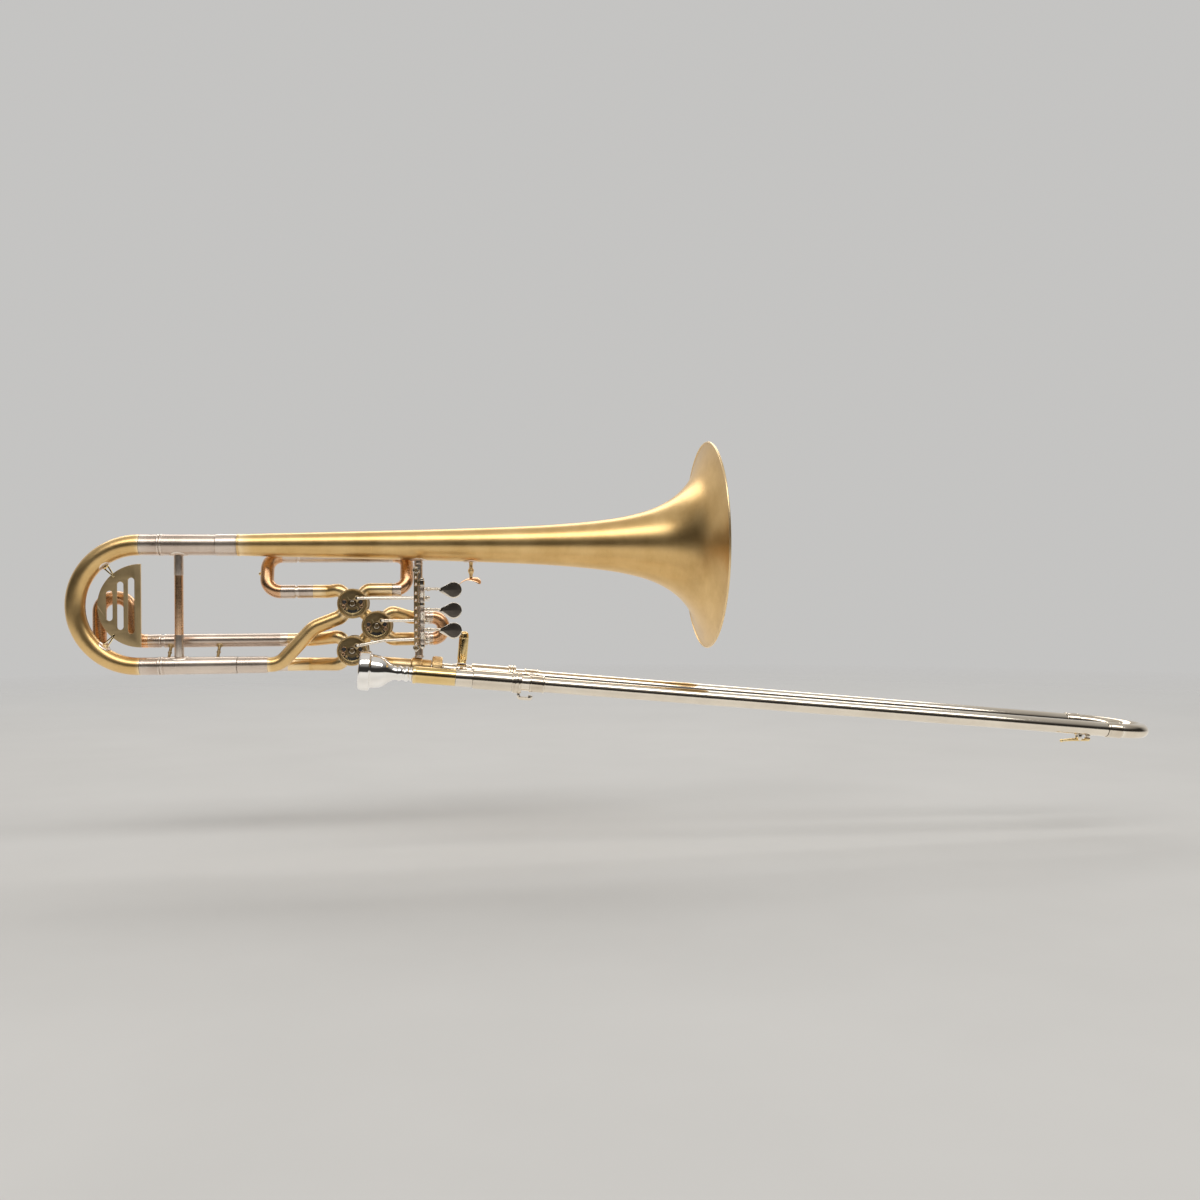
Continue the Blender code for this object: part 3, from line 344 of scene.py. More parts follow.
def upright(lean=0):
    """Turn for a plate that faces the lever side: its x is the bell X turned by lean, its y is up."""
    c, s = math.cos(math.radians(lean)), math.sin(math.radians(lean))
    return [[c, -s, 0], [0, 0, -1], [s, c, 0]]


def arc(centre, radius, start, end, steps):
    """Points on a circular arc, angles in degrees."""
    angles = [math.radians(start + (end - start) * i / steps) for i in range(steps + 1)]
    return [(centre[0] + radius * math.cos(a), centre[1] + radius * math.sin(a)) for a in angles]


def capsule(centre, half_length, radius):
    """Upright slot outline with round ends."""
    return (arc((centre[0], centre[1] + half_length), radius, 0, 180, 12)
        + arc((centre[0], centre[1] - half_length), radius, 180, 360, 12))


def screw_head(radius, height, at, along, slot_turn=0):
    """Slotted screw head: a low disc with two domed halves, and the slot between them."""
    turn = basis(along)
    c, s = math.cos(slot_turn), math.sin(slot_turn)
    flat = np.stack([turn[:, 1] * c + turn[:, 2] * s, -turn[:, 1] * s + turn[:, 2] * c, turn[:, 0]], 1)
    gap = radius * 0.16
    start = math.degrees(math.asin(gap / radius))
    half = arc((0, 0), radius, start, 180 - start, 14)
    other = [(-x, -y) for x, y in half]
    middle = np.array(at) + turn[:, 0] * height * 0.62
    shapes = [turned([(0, 0), (radius, 0), (radius, height * 0.35), (0, height * 0.35)], at, along, 28, 0.1)]
    for line in (half, other):
        shapes.append(plate(line, height * 0.75, height * 0.25, middle, flat))
    return shapes


# ---- finishes
def link(tree, source, target):
    tree.links.new(source, target)


def node(tree, kind, values=(), **links):
    """New shader node with plain values and links on its named inputs; an underscore stands for a space."""
    new = tree.nodes.new(kind)
    for name, value in dict(values).items():
        new.inputs[name].default_value = value
    for name, source in links.items():
        tree.links.new(source, new.inputs[name.replace("_", " ")])
    return new


def noise(tree, vector, scale, detail, rough):
    return node(tree, "ShaderNodeTexNoise", {"Scale": scale, "Detail": detail, "Roughness": rough},
        Vector=vector).outputs["Fac"]


def stretched(tree, vector, scale):
    new = node(tree, "ShaderNodeVectorMath", {1: scale})
    new.operation = "MULTIPLY"
    link(tree, vector, new.inputs[0])
    return new.outputs["Vector"]


def ramp(tree, source, stops):
    new = tree.nodes.new("ShaderNodeValToRGB")
    while len(new.color_ramp.elements) < len(stops):
        new.color_ramp.elements.new(0.5)
    for element, (place, colour) in zip(new.color_ramp.elements, stops):
        element.position = place
        element.color = tuple(colour) + (1,)
    link(tree, source, new.inputs["Fac"])
    return new.outputs["Color"]


def blended(tree, share, first, second):
    """Colour mix; share, first and second are sockets or plain values."""
    new = tree.nodes.new("ShaderNodeMix")
    new.data_type = "RGBA"
    for value, socket in ((share, new.inputs[0]), (first, new.inputs[6]), (second, new.inputs[7])):
        if isinstance(value, bpy.types.NodeSocket):
            link(tree, value, socket)
        elif socket == new.inputs[0]:
            socket.default_value = value
        else:
            socket.default_value = tuple(value) + (1,)
    return new.outputs[2]


def ranged(tree, source, low, high, from_low=0.3, from_high=0.7):
    values = {"From Min": from_low, "From Max": from_high, "To Min": low, "To Max": high}
    return node(tree, "ShaderNodeMapRange", values, Value=source).outputs["Result"]


def summed(tree, first, second, share):
    """first + second * share, as a plain number."""
    new = node(tree, "ShaderNodeMath", {1: share})
    new.operation = "MULTIPLY_ADD"
    link(tree, second, new.inputs[0])
    link(tree, first, new.inputs[2])
    return new.outputs["Value"]


def blank(name):
    """New material with its node tree and its shader."""
    material = bpy.data.materials.new(name)
    material.use_nodes = True
    tree = material.node_tree
    return material, tree, tree.nodes["Principled BSDF"]


def grained(tree):
    """The grain that each piece carries, in millimetres along and across it."""
    source = tree.nodes.new("ShaderNodeAttribute")
    source.attribute_name = "grain"
    return source.outputs["Vector"]


def relief(tree, shader, height, strength, distance):
    bump = node(tree, "ShaderNodeBump", {"Strength": strength, "Distance": distance}, Height=height)
    link(tree, bump.outputs["Normal"], shader.inputs["Normal"])


def metal(name, deep, pale, edge, roughness, spread, lines, bump, tarnish):
    """Worked metal: cloudy colour, a brushed grain along each piece, rubbed edges and tiny scratches."""
    material, tree, shader = blank(name + "_fine")
    shader.inputs["Metallic"].default_value = 1
    vector = grained(tree)
    cloud = noise(tree, vector, 0.035, 4, 0.6)
    streak = noise(tree, stretched(tree, vector, (lines, 0.05, 0.05)), 1, 4, 0.7)
    speck = noise(tree, vector, 2.6, 3, 0.6)
    scratch = noise(tree, stretched(tree, vector, (0.06, 1.9, 1.9)), 1, 2, 0.8)
    geometry = tree.nodes.new("ShaderNodeNewGeometry")
    wear = ramp(tree, geometry.outputs["Pointiness"], [(0.505, (0, 0, 0)), (0.56, (1, 1, 1))])
    cloudy = ramp(tree, cloud, [(0.32, deep), (0.66, pale)])
    lined = blended(tree, ranged(tree, streak, 0, tarnish), cloudy, [c * 0.62 for c in deep])
    link(tree, blended(tree, wear, lined, edge), shader.inputs["Base Color"])
    rough = ranged(tree, streak, roughness - spread, roughness + spread)
    rough = summed(tree, rough, ranged(tree, cloud, -1, 1), spread * 0.6)
    rough = summed(tree, rough, ranged(tree, scratch, -1, 1, 0.4, 0.8), spread * 0.4)
    link(tree, rough, shader.inputs["Roughness"])
    height = summed(tree, streak, speck, 0.5)
    height = summed(tree, height, scratch, 0.35)
    relief(tree, shader, height, bump, 0.00004)
    return material


def soft_finish(name, deep, pale, roughness, scale, bump):
    """Rubber or cork, whose black rubber also serves as a sheet of painted shade: speckled, dull, lightly
    pitted.
    """
    material, tree, shader = blank(name + "_fine")
    vector = grained(tree)
    speck = noise(tree, vector, scale, 5, 0.65)
    cloud = noise(tree, vector, scale * 0.2, 3, 0.5)
    mixed = ramp(tree, speck, [(0.38, deep), (0.64, pale)])
    link(tree, blended(tree, ranged(tree, cloud, 0, 0.4), mixed, deep), shader.inputs["Base Color"])
    link(tree, ranged(tree, speck, roughness - 0.1, roughness + 0.1), shader.inputs["Roughness"])
    relief(tree, shader, speck, bump, 0.00015)
    return material


BRASS = "satin_brass"
GOLD = "polished_brass"
AGED = "aged_brass"
ROSE = "rose_brass"
NICKEL = "satin_nickel"
MIRROR = "polished_nickel"
SILVER = "silver_plate"
INSET = "dark_inset"
BURNT = "burnt_bronze"
DARK = "dark_bronze"
RUBBER_AND_SHADE = "black_rubber"
CORK = "cork"

# Each metal: deep, pale and rubbed colour, roughness and its spread, grain lines, relief, tarnish.
METALS = (
    (BRASS, (0.68, 0.44, 0.175), (0.80, 0.55, 0.245), (0.92, 0.71, 0.42), 0.33, 0.04, 3.2, 0.30, 0.12),
    (GOLD, (0.76, 0.52, 0.20), (0.86, 0.64, 0.30), (0.95, 0.78, 0.46), 0.13, 0.04, 2.4, 0.10, 0.10),
    (AGED, (0.36, 0.26, 0.125), (0.50, 0.37, 0.19), (0.84, 0.64, 0.38), 0.45, 0.07, 3.6, 0.55, 0.5),
    (ROSE, (0.58, 0.305, 0.15), (0.73, 0.43, 0.235), (0.90, 0.63, 0.42), 0.29, 0.05, 3, 0.16, 0.16),
    (NICKEL, (0.55, 0.445, 0.37), (0.70, 0.585, 0.495), (0.88, 0.79, 0.70), 0.32, 0.05, 3.4, 0.35, 0.22),
    (MIRROR, (0.62, 0.53, 0.42), (0.78, 0.70, 0.58), (0.94, 0.88, 0.78), 0.10, 0.035, 1.6, 0.07, 0.10),
    (SILVER, (0.86, 0.83, 0.79), (0.95, 0.93, 0.90), (0.99, 0.98, 0.96), 0.06, 0.03, 1.4, 0.05, 0.06),
    (INSET, (0.028, 0.025, 0.023), (0.075, 0.068, 0.062), (0.30, 0.26, 0.22), 0.36, 0.06, 2.8, 0.35, 0.3),
    (BURNT, (0.24, 0.175, 0.085), (0.36, 0.265, 0.135), (0.70, 0.54, 0.32), 0.50, 0.07, 3.6, 0.55, 0.5),
    (DARK, (0.045, 0.031, 0.017), (0.11, 0.078, 0.042), (0.50, 0.37, 0.21), 0.36, 0.08, 3.6, 0.55, 0.5),
)
SOFT = (
    (RUBBER_AND_SHADE, (0.012, 0.012, 0.012), (0.045, 0.043, 0.042), 0.62, 1.8, 0.5),
    (CORK, (0.20, 0.11, 0.05), (0.42, 0.27, 0.14), 0.78, 1.4, 0.9),
)
FINISH = {row[0]: metal(*row) for row in METALS}
FINISH.update({row[0]: soft_finish(*row) for row in SOFT})


# ---- putting a piece together
def piece(name, parts, body="root", where=BELL, node=None):
    """One visible piece from (shape, finish) pairs, riding on a body. It stands for the CAD node named before
    its last word, unless another is given, and its material slots hold its finishes in order."""
    points, faces, marks, coats = [], [], [], []
    finishes = list(dict.fromkeys(finish for _, finish in parts))
    total = 0
    for (co, corners, grain), finish in parts:
        points.append(co)
        marks.append(grain)
        faces.extend(tuple(i + total for i in face) for face in corners)
        coats.extend([finishes.index(finish)] * len(corners))
        total += len(co)
    world = np.concatenate(points) * MM @ np.array(where.to_3x3()).T + np.array(where.translation)
    mesh = bpy.data.meshes.new(name)
    mesh.from_pydata(world.tolist(), [], faces)
    mesh.update()
    mesh.polygons.foreach_set("material_index", np.array(coats, dtype=np.int32))
    grain = mesh.attributes.new("grain", "FLOAT_VECTOR", "POINT")
    grain.data.foreach_set("vector", np.concatenate(marks).astype(np.float32).ravel())
    form = bmesh.new()
    form.from_mesh(mesh)
    bmesh.ops.recalc_face_normals(form, faces=form.faces)
    form.to_mesh(mesh)
    form.free()
    mesh.shade_smooth()
    mesh.set_sharp_from_angle(angle=SHARP)
    for finish in finishes:
        mesh.materials.append(FINISH[finish])
    result = bpy.data.objects.new(name, mesh)
    bpy.context.scene.collection.objects.link(result)
    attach(result, body)
    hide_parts(node or name.rsplit("_", 1)[0])


def on(finish, *shapes):
    """Several shapes in one finish."""
    return [(shape, finish) for shape in shapes]


def slide_point(distance):
    """A point on the far slide tube's axis, in the bell frame."""
    world = SLIDE @ (Vector((distance, 0, 0)) * MM)
    return (world - BELL.translation) / MM


# ---- bell
BELL_BACK = ((-486.6, 10.9), (-444.6, 12), (-404.7, 13), (-364.4, 14.1), (-323.7, 15.2), (-282.7, 16.35),
    (-241.4, 17.8), (-199.6, 19.5), (-157.5, 22), (-115, 26.1), (-86, 30.9), (-60, 38.2), (-40, 48.2),
    (-26, 59.4), (-15, 73), (-7.5, 89), (-3.2, 101), (-1.5, 108))
BELL_WALL = 0.55


def smooth_line(points, steps):
    """Catmull-Rom curve through the points, spaced by distance so that uneven steps stay smooth."""
    data = [np.array(p, float) for p in points]
    data = [2 * data[0] - data[1]] + data + [2 * data[-1] - data[-2]]
    result = []
    for i in range(1, len(data) - 2):
        p0, p1, p2, p3 = data[i - 1:i + 3]
        d1, d2, d3 = (math.sqrt(np.linalg.norm(b - a)) for a, b in ((p0, p1), (p1, p2), (p2, p3)))
        m1 = d2 * ((p1 - p0) / d1 - (p2 - p0) / (d1 + d2) + (p2 - p1) / d2)
        m2 = d2 * ((p2 - p1) / d2 - (p3 - p1) / (d2 + d3) + (p3 - p2) / d3)
        for k in range(steps):
            t = k / steps
            result.append((2 * t ** 3 - 3 * t ** 2 + 1) * p1 + (t ** 3 - 2 * t ** 2 + t) * m1
                + (-2 * t ** 3 + 3 * t ** 2) * p2 + (t ** 3 - t ** 2) * m2)
    result.append(data[-2])
    return result


def bell_radius(x):
    """Outer radius of the bell at a place on its axis."""
    line = smooth_line(BELL_BACK, 6)
    return float(np.interp(x, [p[0] for p in line], [p[1] for p in line]))


def bell():
    back = smooth_line(BELL_BACK, 5)
    inside = []
    for i, here in enumerate(back):
        run = back[min(i + 1, len(back) - 1)] - back[max(i - 1, 0)]
        run /= np.linalg.norm(run)
        inside.append(here + BELL_WALL * np.array([run[1], -run[0]]))
    bead = [np.array(p) for p in arc((-0.95, 108.85), 1.14, -60, 200, 10)]
    section = [(p[1], p[0]) for p in bead + list(reversed(back)) + inside]
    seam = [(bell_radius(-485.2) + 0.02, -486.4), (bell_radius(-485.2) + 0.35, -486.2),
        (bell_radius(-485.2) + 0.35, -484.4), (bell_radius(-485.2) + 0.02, -484.2)]
    piece("bell_shell", on(BRASS, turned(section, sides=144, edge=0), turned(seam, edge=0.1)))


# ---- main tuning slide
def tuning_sleeves():
    upper = walled([(UPPER_SLEEVE + 0.5, SLEEVE_OPEN), (UPPER_SLEEVE + 0.5, SLEEVE_OPEN + 2),
        (UPPER_SLEEVE, SLEEVE_OPEN + 2.1), (UPPER_SLEEVE, -507.6), (UPPER_SLEEVE + 0.6, -507.2),
        (UPPER_SLEEVE + 0.6, -488), (UPPER_SLEEVE + 0.35, -487.6), (UPPER_SLEEVE + 0.35, -486.9)],
        UPPER_LEG + 0.25)
    piece("tuning_sleeve_upper_shell", on(NICKEL, turned(upper, edge=0.3)))
    # The lower sleeve has an open end ring and a fine groove beside it.
    lower = walled([(LOWER_SLEEVE + 0.5, SLEEVE_OPEN), (LOWER_SLEEVE + 0.5, SLEEVE_OPEN + 2),
        (LOWER_SLEEVE, SLEEVE_OPEN + 2), (LOWER_SLEEVE, SLEEVE_OPEN + 4),
        (LOWER_SLEEVE - 0.14, SLEEVE_OPEN + 4.15), (LOWER_SLEEVE, SLEEVE_OPEN + 4.3), (LOWER_SLEEVE, -487.3)],
        LOWER_LEG + 0.25)
    piece("tuning_sleeve_lower_shell", on(NICKEL, turned(lower, (0, 0, -LEG_DROP), X, 72, 0.35)))
    for name, radius, level in (("upper", UPPER_LEG, 0), ("lower", LOWER_LEG, -LEG_DROP)):
        leg = tube(BOW_X + 0.3, BOW_X + 70.3, radius, radius - 0.6)
        piece("tuning_leg_%s_tube" % name, on(NICKEL, turned(leg, (0, 0, level))), "tuning_slide")


def tuning_bow():
    steps = 72
    count = steps + 3
    line = [Vector((BOW_X, 0, 0))]
    for i in range(steps + 1):
        angle = math.pi * i / steps
        line.append(Vector((BOW_X - BOW_LEAD - BOW_RADIUS * math.sin(angle), 0,
            -BOW_RADIUS + BOW_RADIUS * math.cos(angle))))
    line.append(Vector((BOW_X, 0, -LEG_DROP)))
    outer = [UPPER_SLEEVE + (LOWER_SLEEVE - UPPER_SLEEVE) * i / (count - 1) for i in range(count)]
    parts = on(BRASS, pipe(line, outer, [r - 0.6 for r in outer], 64))
    # Nickel ferrules over the two ends of the bow.
    for radius, leg, level in ((UPPER_SLEEVE, UPPER_LEG, 0), (LOWER_SLEEVE, LOWER_LEG, -LEG_DROP)):
        ferrule = walled([(radius, BOW_X + 0.2), (radius, -564.6), (radius + 0.45, -564.3),
            (radius + 0.45, -562.4)], leg + 0.12)
        parts += on(NICKEL, turned(ferrule, (0, 0, level), X, 64, 0.25))
    for angle in STAY_ANGLES:
        radius = UPPER_SLEEVE - 0.5 if angle < 180 else LOWER_SLEEVE + 0.4
        at, inward, along = stay_frame(angle)
        parts += on(NICKEL, saddle(radius, 7.6, 7.4, at, along, inward))
    piece("tuning_bow_tube", parts, "tuning_slide")


STAY_ANGLES = (128.7, 231.3)
WEIGHT_X = -581
WEIGHT_RADIUS = 42


def stay_frame(angle):
    """Centre of the bow tube where a stay meets it, the direction inward and the tube's direction there."""
    a = math.radians(angle)
    spoke = Vector((math.cos(a), 0, math.sin(a)))
    at = Vector((BOW_X - BOW_LEAD, 0, -BOW_RADIUS)) + spoke * BOW_RADIUS
    return at, -spoke, spoke.cross(Vector(Y))


def bow_brace():
    top = -UPPER_SLEEVE - 0.05
    foot = -LEG_DROP + LOWER_SLEEVE + 0.05
    at = (-544.3, 0, 0)
    nickel_top = solid([(4.7, top), (4.7, top - 19.9), (4.45, top - 20.1)])
    nickel_foot = solid([(4.45, foot + 22.6), (4.7, foot + 22.4), (4.7, foot)])
    middle = solid([(4.35, top - 19.8), (4.35, foot + 22.3)])
    parts = on(NICKEL, turned(nickel_top, at, Z), turned(nickel_foot, at, Z))
    parts += on(ROSE, turned(middle, at, Z))
    parts += on(NICKEL, saddle(UPPER_SLEEVE, 9.4, 8.6, at, X, DOWN), saddle(LOWER_SLEEVE, 9.4, 8.4,
        (at[0], 0, -LEG_DROP), X, Z))
    piece("bow_brace_rod", parts)


def counterweight():
    outline = arc((0, 0), WEIGHT_RADIUS, 90, 270, 72)
    holes = [capsule((offset, 0), half, 3.2) for offset, half in ((-9.5, 25), (-20, 21), (-30.5, 12))]
    holes = [list(reversed(hole)) for hole in holes]
    at = (WEIGHT_X, 0, -BOW_RADIUS)
    parts = on(AGED, plate(outline, 2.2, 0.25, at, upright(), holes))
    for angle in STAY_ANGLES:
        middle, inward, _ = stay_frame(angle)
        radius = UPPER_SLEEVE if angle < 180 else LOWER_SLEEVE
        start = middle + inward * (radius + 0.35)
        length = BOW_RADIUS - radius - 0.35 - WEIGHT_RADIUS + 5
        lean = math.degrees(math.atan2(inward.z, inward.x))
        for side in (-1, 1):
            strip = [(0, side * 2.9), (length, side * 0.9), (length, side * -0.4), (0, side * 1.5)]
            if side > 0:
                strip = list(reversed(strip))
            parts += on(GOLD, plate(strip, 2.9, 0.2, start, upright(lean)))
        foot = solid([(3.3, 0), (3.3, 0.9), (2, 1.3)])
        parts += on(GOLD, turned(foot, middle + inward * (radius + 0.32), inward, 32, 0.2))
    piece("counterweight_plate", parts, "tuning_slide")


# ---- valves
def port(number, x_sign, z_sign, reach):
    """Point on a valve's diagonal port line."""
    x, z = VALVE_CENTRES[number - 1]
    return (x + x_sign * reach * DIAGONAL, 0, z + z_sign * reach * DIAGONAL)


def corner(number, x_sign, z_sign):
    """Where a port line meets the level run of its pipe."""
    return port(number, x_sign, z_sign, ELBOW) + (ELBOW_BEND,)


def crescent(radius_out, radius_in, start, end):
    """Outline of a curved strip with round ends, in degrees round its centre."""
    middle = (radius_out + radius_in) / 2
    half = (radius_out - radius_in) / 2
    a, b = math.radians(start), math.radians(end)
    first = arc((middle * math.cos(b), middle * math.sin(b)), half, end, end + 180, 8)
    last = arc((middle * math.cos(a), middle * math.sin(a)), half, start + 180, start + 360, 8)
    return arc((0, 0), radius_out, start, end, 36) + first[1:] + list(reversed(arc((0, 0), radius_in, start,
        end, 36))) + last[1:-1]


def valve(number):
    x, z = VALVE_CENTRES[number - 1]
    at = (x, 0, z)
    title = "valve_%d_" % number
    shell = [(CAP_RADIUS - 0.2, 19.9), (CAP_RADIUS, 19.5), (CAP_RADIUS, 18.3), (CAP_RADIUS - 0.35, 18.1),
        (CAP_RADIUS - 0.35, 17.5), (CAP_RADIUS, 17.3), (CAP_RADIUS, 15.2), (CASING_RADIUS, 14.9),
        (CASING_RADIUS, -12), (CASING_RADIUS + 0.25, -12.3), (CASING_RADIUS + 0.25, -14.8), (13, -14.8),
        (13, 12), (3.1, 12), (3.1, 17), (12.9, 17), (13.3, 17.3), (13.7, 19.9)]
    parts = on(AGED, turned(shell, at, OUT, 96, 0.14))
    rim = [(13.5, 19.5), (13.8, 19.98), (14.8, 19.98), (15.12, 19.7), (15.12, 19.3), (13.5, 19.3)]
    parts += on(BRASS, turned(rim, at, OUT, 96, 0.12))
    # Floor of the recess: a darker disc with turned rings, and a bowed stop plate with curled ends on it.
    disc = [(3.2, 17), (5.4, 17), (5.6, 17.2), (5.8, 17), (9, 17), (9.2, 17.2), (9.4, 17), (12.8, 17),
        (12.8, 17.12), (9.4, 17.14), (5.8, 17.14), (3.2, 17.14)]
    parts += on(BURNT, turned(disc, at, OUT, 96, 0.05))
    front = (x, -17.75, z)
    # Black crescent sheet under the stop plate: painted shade standing for the dark slot below the spindle.
    parts += on(RUBBER_AND_SHADE, plate(crescent(9.9, 6.9, 212, 328), 0.5, 0.1, (x, -17.3, z), upright()))
    parts += on(GOLD, plate(crescent(10.9, 9.8, 196, 344), 1.5, 0.25, front, upright()))
    for side in (-1, 1):
        curl = [(1, 17.2), (2.1, 17.2), (2.1, 18.5), (1, 18.5)]
        parts += on(ROSE, turned(curl, (x + side * 8.9, 0, z - 3), OUT, 32, 0.35))
    for side in (-1, 1):
        parts += on(AGED, *screw_head(1.25, 1.3, (x + side * 5.6, -17.1, z - 5.6), OUT, side * 0.6))
        cork = solid([(2.1, 16.9), (2.1, 19), (1.6, 19.3)])
        parts += on(RUBBER_AND_SHADE, turned(cork, (x + side * 8.2, 0, z + 1.6), OUT, 32, 0.3))
        lip = [(2.2, 16.9), (2.8, 16.9), (2.8, 17.5), (2.4, 17.9), (2.2, 17.9)]
        parts += on(ROSE, turned(lip, (x + side * 8.2, 0, z + 1.6), OUT, 32, 0.1))
    bearing = [(3.15, 17.2), (4, 17.2), (4, 17.25), (3.15, 17.28)]
    parts += on(AGED, turned(bearing, at, OUT, 48, 0))
    piece(title + "casing_shell", parts)

    back = solid([(CAP_RADIUS - 0.3, -15.3), (CAP_RADIUS, -15.6), (CAP_RADIUS, -16.6),
        (CAP_RADIUS - 0.3, -16.8), (CAP_RADIUS - 0.3, -17.1), (CAP_RADIUS, -17.3), (CAP_RADIUS, -18.9),
        (13.6, -20), (10, -20), (9.7, -19.8), (9.4, -20), (4.5, -20), (4.2, -21.2), (3.4, -21.5)])
    piece(title + "back_cap_shell", on(AGED, turned(back, at, OUT, 96, 0.2)))

    rotor = solid([(2.85, 20.1), (2.85, 11.5), (12.4, 11.5), (12.4, -14.4)])
    parts = on(MIRROR, turned(rotor, at, OUT, 56, 0.3))
    hub = solid([(4.6, 17.4), (4.6, 19.7), (3.9, 20.2), (2.9, 20.2), (2.7, 19.9)])
    parts += on(DARK, turned(hub, at, OUT, 48, 0.2))
    parts += on(DARK, *screw_head(2.3, 1.8, (x, -20, z), OUT, 0.5 * number))
    crank = arc((0, 0), 3.3, 110, 250, 12) + arc((CRANK, 0), 2.3, -80, 80, 12)
    parts += on(AGED, plate(crank, 2.1, 0.35, (x, -18.75, z), upright(45)))
    stud = solid([(1.5, 19), (1, 20.4), (1, 22)])
    parts += on(AGED, turned(stud, (x + STUD, 0, z + STUD), OUT, 28, 0.2),
        ball(1.65, (x + STUD, -22.3, z + STUD)))
    piece(title + "rotor_body", parts, "rotor_%d" % number)


def collar(at, along, outer, bore, width, rise):
    """Soldered ferrule ring on a pipe, with rounded shoulders."""
    profile = [(bore, 0), (outer, 0), (outer + rise, width * 0.18), (outer + rise, width * 0.82),
        (outer, width), (bore, width)]
    return turned(profile, at, along, 48, 0.2)


def valve_pipe(line, bore=VALVE_BORE):
    return pipe(line, VALVE_TUBE, bore, 48)


def sleeve_on(profile, y, z, edge=0.15):
    """Turned sleeve on a level valve pipe."""
    return turned(profile, (0, y, z), X, 48, edge)


def valve_pipes():
    lead = bend([(-487, 0, -LEG_DROP, 0), (-446, 0, -LEG_DROP, 20), (-411.5, 0, -84.5, 26), corner(1, -1, -1),
        port(1, -1, -1, PORT)])
    start = [Vector((-457.1, 0, -LEG_DROP))]
    parts = on(BRASS, pipe(start + lead[1:], 7.5, 6.8, 56))
    sleeve_end = [(8.2, -487), (8.45, -486.7), (8.45, -458.6), (8.2, -457.1), (7.45, -457), (7.45, -487)]
    parts += on(NICKEL, turned(sleeve_end, (0, 0, -LEG_DROP), X, 64, 0.2))
    piece("gooseneck_pipe", parts)

    low, top = (6, -47.6), (20, -10.6)
    right = corner(1, 1, 1)[2]
    crook_x = -332
    left = bend([(-412, low[0], low[1], 0), (-396, low[0], low[1], 14), corner(1, -1, 1),
        port(1, -1, 1, PORT)])
    parts = on(BRASS, valve_pipe(left))
    parts += on(NICKEL,
        sleeve_on(walled([(VALVE_TUBE + 0.15, -428), (VALVE_TUBE + 0.15, -426.4), (VALVE_TUBE, -426),
        (VALVE_TUBE, -412.2)], VALVE_BORE), low[0], low[1]))
    piece("valve_1_knuckle_left_pipe", parts)

    knuckle = bend([(crook_x, 0, right, 0), corner(1, 1, 1), port(1, 1, 1, PORT)])
    piece("valve_1_knuckle_right_pipe", on(BRASS, valve_pipe(knuckle)))

    # A rose crook comes up from the knuckle; its upper leg runs back to the slide as a long nickel sleeve.
    back = bend([(crook_x + 9.3, 0, right, 0), (-317.3, 0, right, 13), (-317.3, top[0], top[1], 12),
        (crook_x, top[0], top[1], 0)])
    parts = on(ROSE, valve_pipe(back))
    parts += on(NICKEL,
        sleeve_on(walled([(VALVE_TUBE, crook_x + 0.3), (VALVE_TUBE + 0.1, crook_x + 0.6),
        (VALVE_TUBE + 0.1, crook_x + 9.2)], VALVE_BORE), 0, right))
    straight = walled([(VALVE_TUBE + 0.15, -428), (VALVE_TUBE + 0.15, -426.4), (VALVE_TUBE, -426),
        (VALVE_TUBE, crook_x - 4.4), (VALVE_TUBE + 0.2, crook_x - 4.2), (VALVE_TUBE + 0.2, crook_x - 0.6),
        (VALVE_TUBE, crook_x - 0.4), (VALVE_TUBE, crook_x)], VALVE_BORE)
    parts += on(NICKEL, sleeve_on(straight, top[0], top[1]))
    piece("valve_1_return_pipe", parts, node="valve_1_return_tube")

    bow = bend([(-443, low[0], low[1], 0), (-459.2, low[0], low[1], 14.5), (-459.2, top[0], top[1], 14.5),
        (-443, top[0], top[1], 0)])
    parts = on(ROSE, valve_pipe(bow, VALVE_LEG - 0.5))
    for y, z in (low, top):
        parts += on(NICKEL, sleeve_on(tube(-443, -401, VALVE_LEG, VALVE_LEG - 0.5), y, z, 0.25),
            sleeve_on(walled([(VALVE_TUBE, -444.4), (VALVE_TUBE + 0.2, -444), (VALVE_TUBE + 0.2, -430.4),
            (VALVE_TUBE, -430)], VALVE_LEG), y, z))
    parts += on(GOLD, ball(1.9, (-466, (low[0] + top[0]) / 2, -29.1)))
    piece("valve_1_slide_bow", parts, "valve_1_slide")

    v2_y, v2_top, v2_low, v2_open = 13, -75.3, -97.5, -296
    for name, sign, level in (("upper", 1, v2_top), ("lower", -1, v2_low)):
        run = bend([port(2, 1, sign, PORT), corner(2, 1, sign), (-313, v2_y, level, 10),
            (v2_open - 7, v2_y, level, 0)])
        parts = on(BRASS, valve_pipe(run))
        parts += on(NICKEL,
            sleeve_on(walled([(VALVE_TUBE, v2_open - 7), (VALVE_TUBE + 0.1, v2_open - 6.8),
            (VALVE_TUBE + 0.1, v2_open - 1.5), (VALVE_TUBE + 0.3, v2_open - 1.4),
            (VALVE_TUBE + 0.3, v2_open)], VALVE_BORE), v2_y, level))
        piece("valve_2_knuckle_%s_pipe" % name, parts)
    half = (v2_top - v2_low) / 2
    bow = [Vector((-290.9 + half * math.sin(math.pi * i / 40), v2_y, (v2_top + v2_low) / 2
        + half * math.cos(math.pi * i / 40))) for i in range(41)]
    parts = on(ROSE, valve_pipe(bow, VALVE_LEG - 0.5))
    for level in (v2_top, v2_low):
        parts += on(NICKEL, sleeve_on(tube(-308, -290.9, VALVE_LEG, VALVE_LEG - 0.5), v2_y, level, 0.25),
            collar((-294.9, v2_y, level), X, VALVE_TUBE, VALVE_LEG, 4.2, 0.15))
    piece("valve_2_slide_bow", parts, "valve_2_slide")

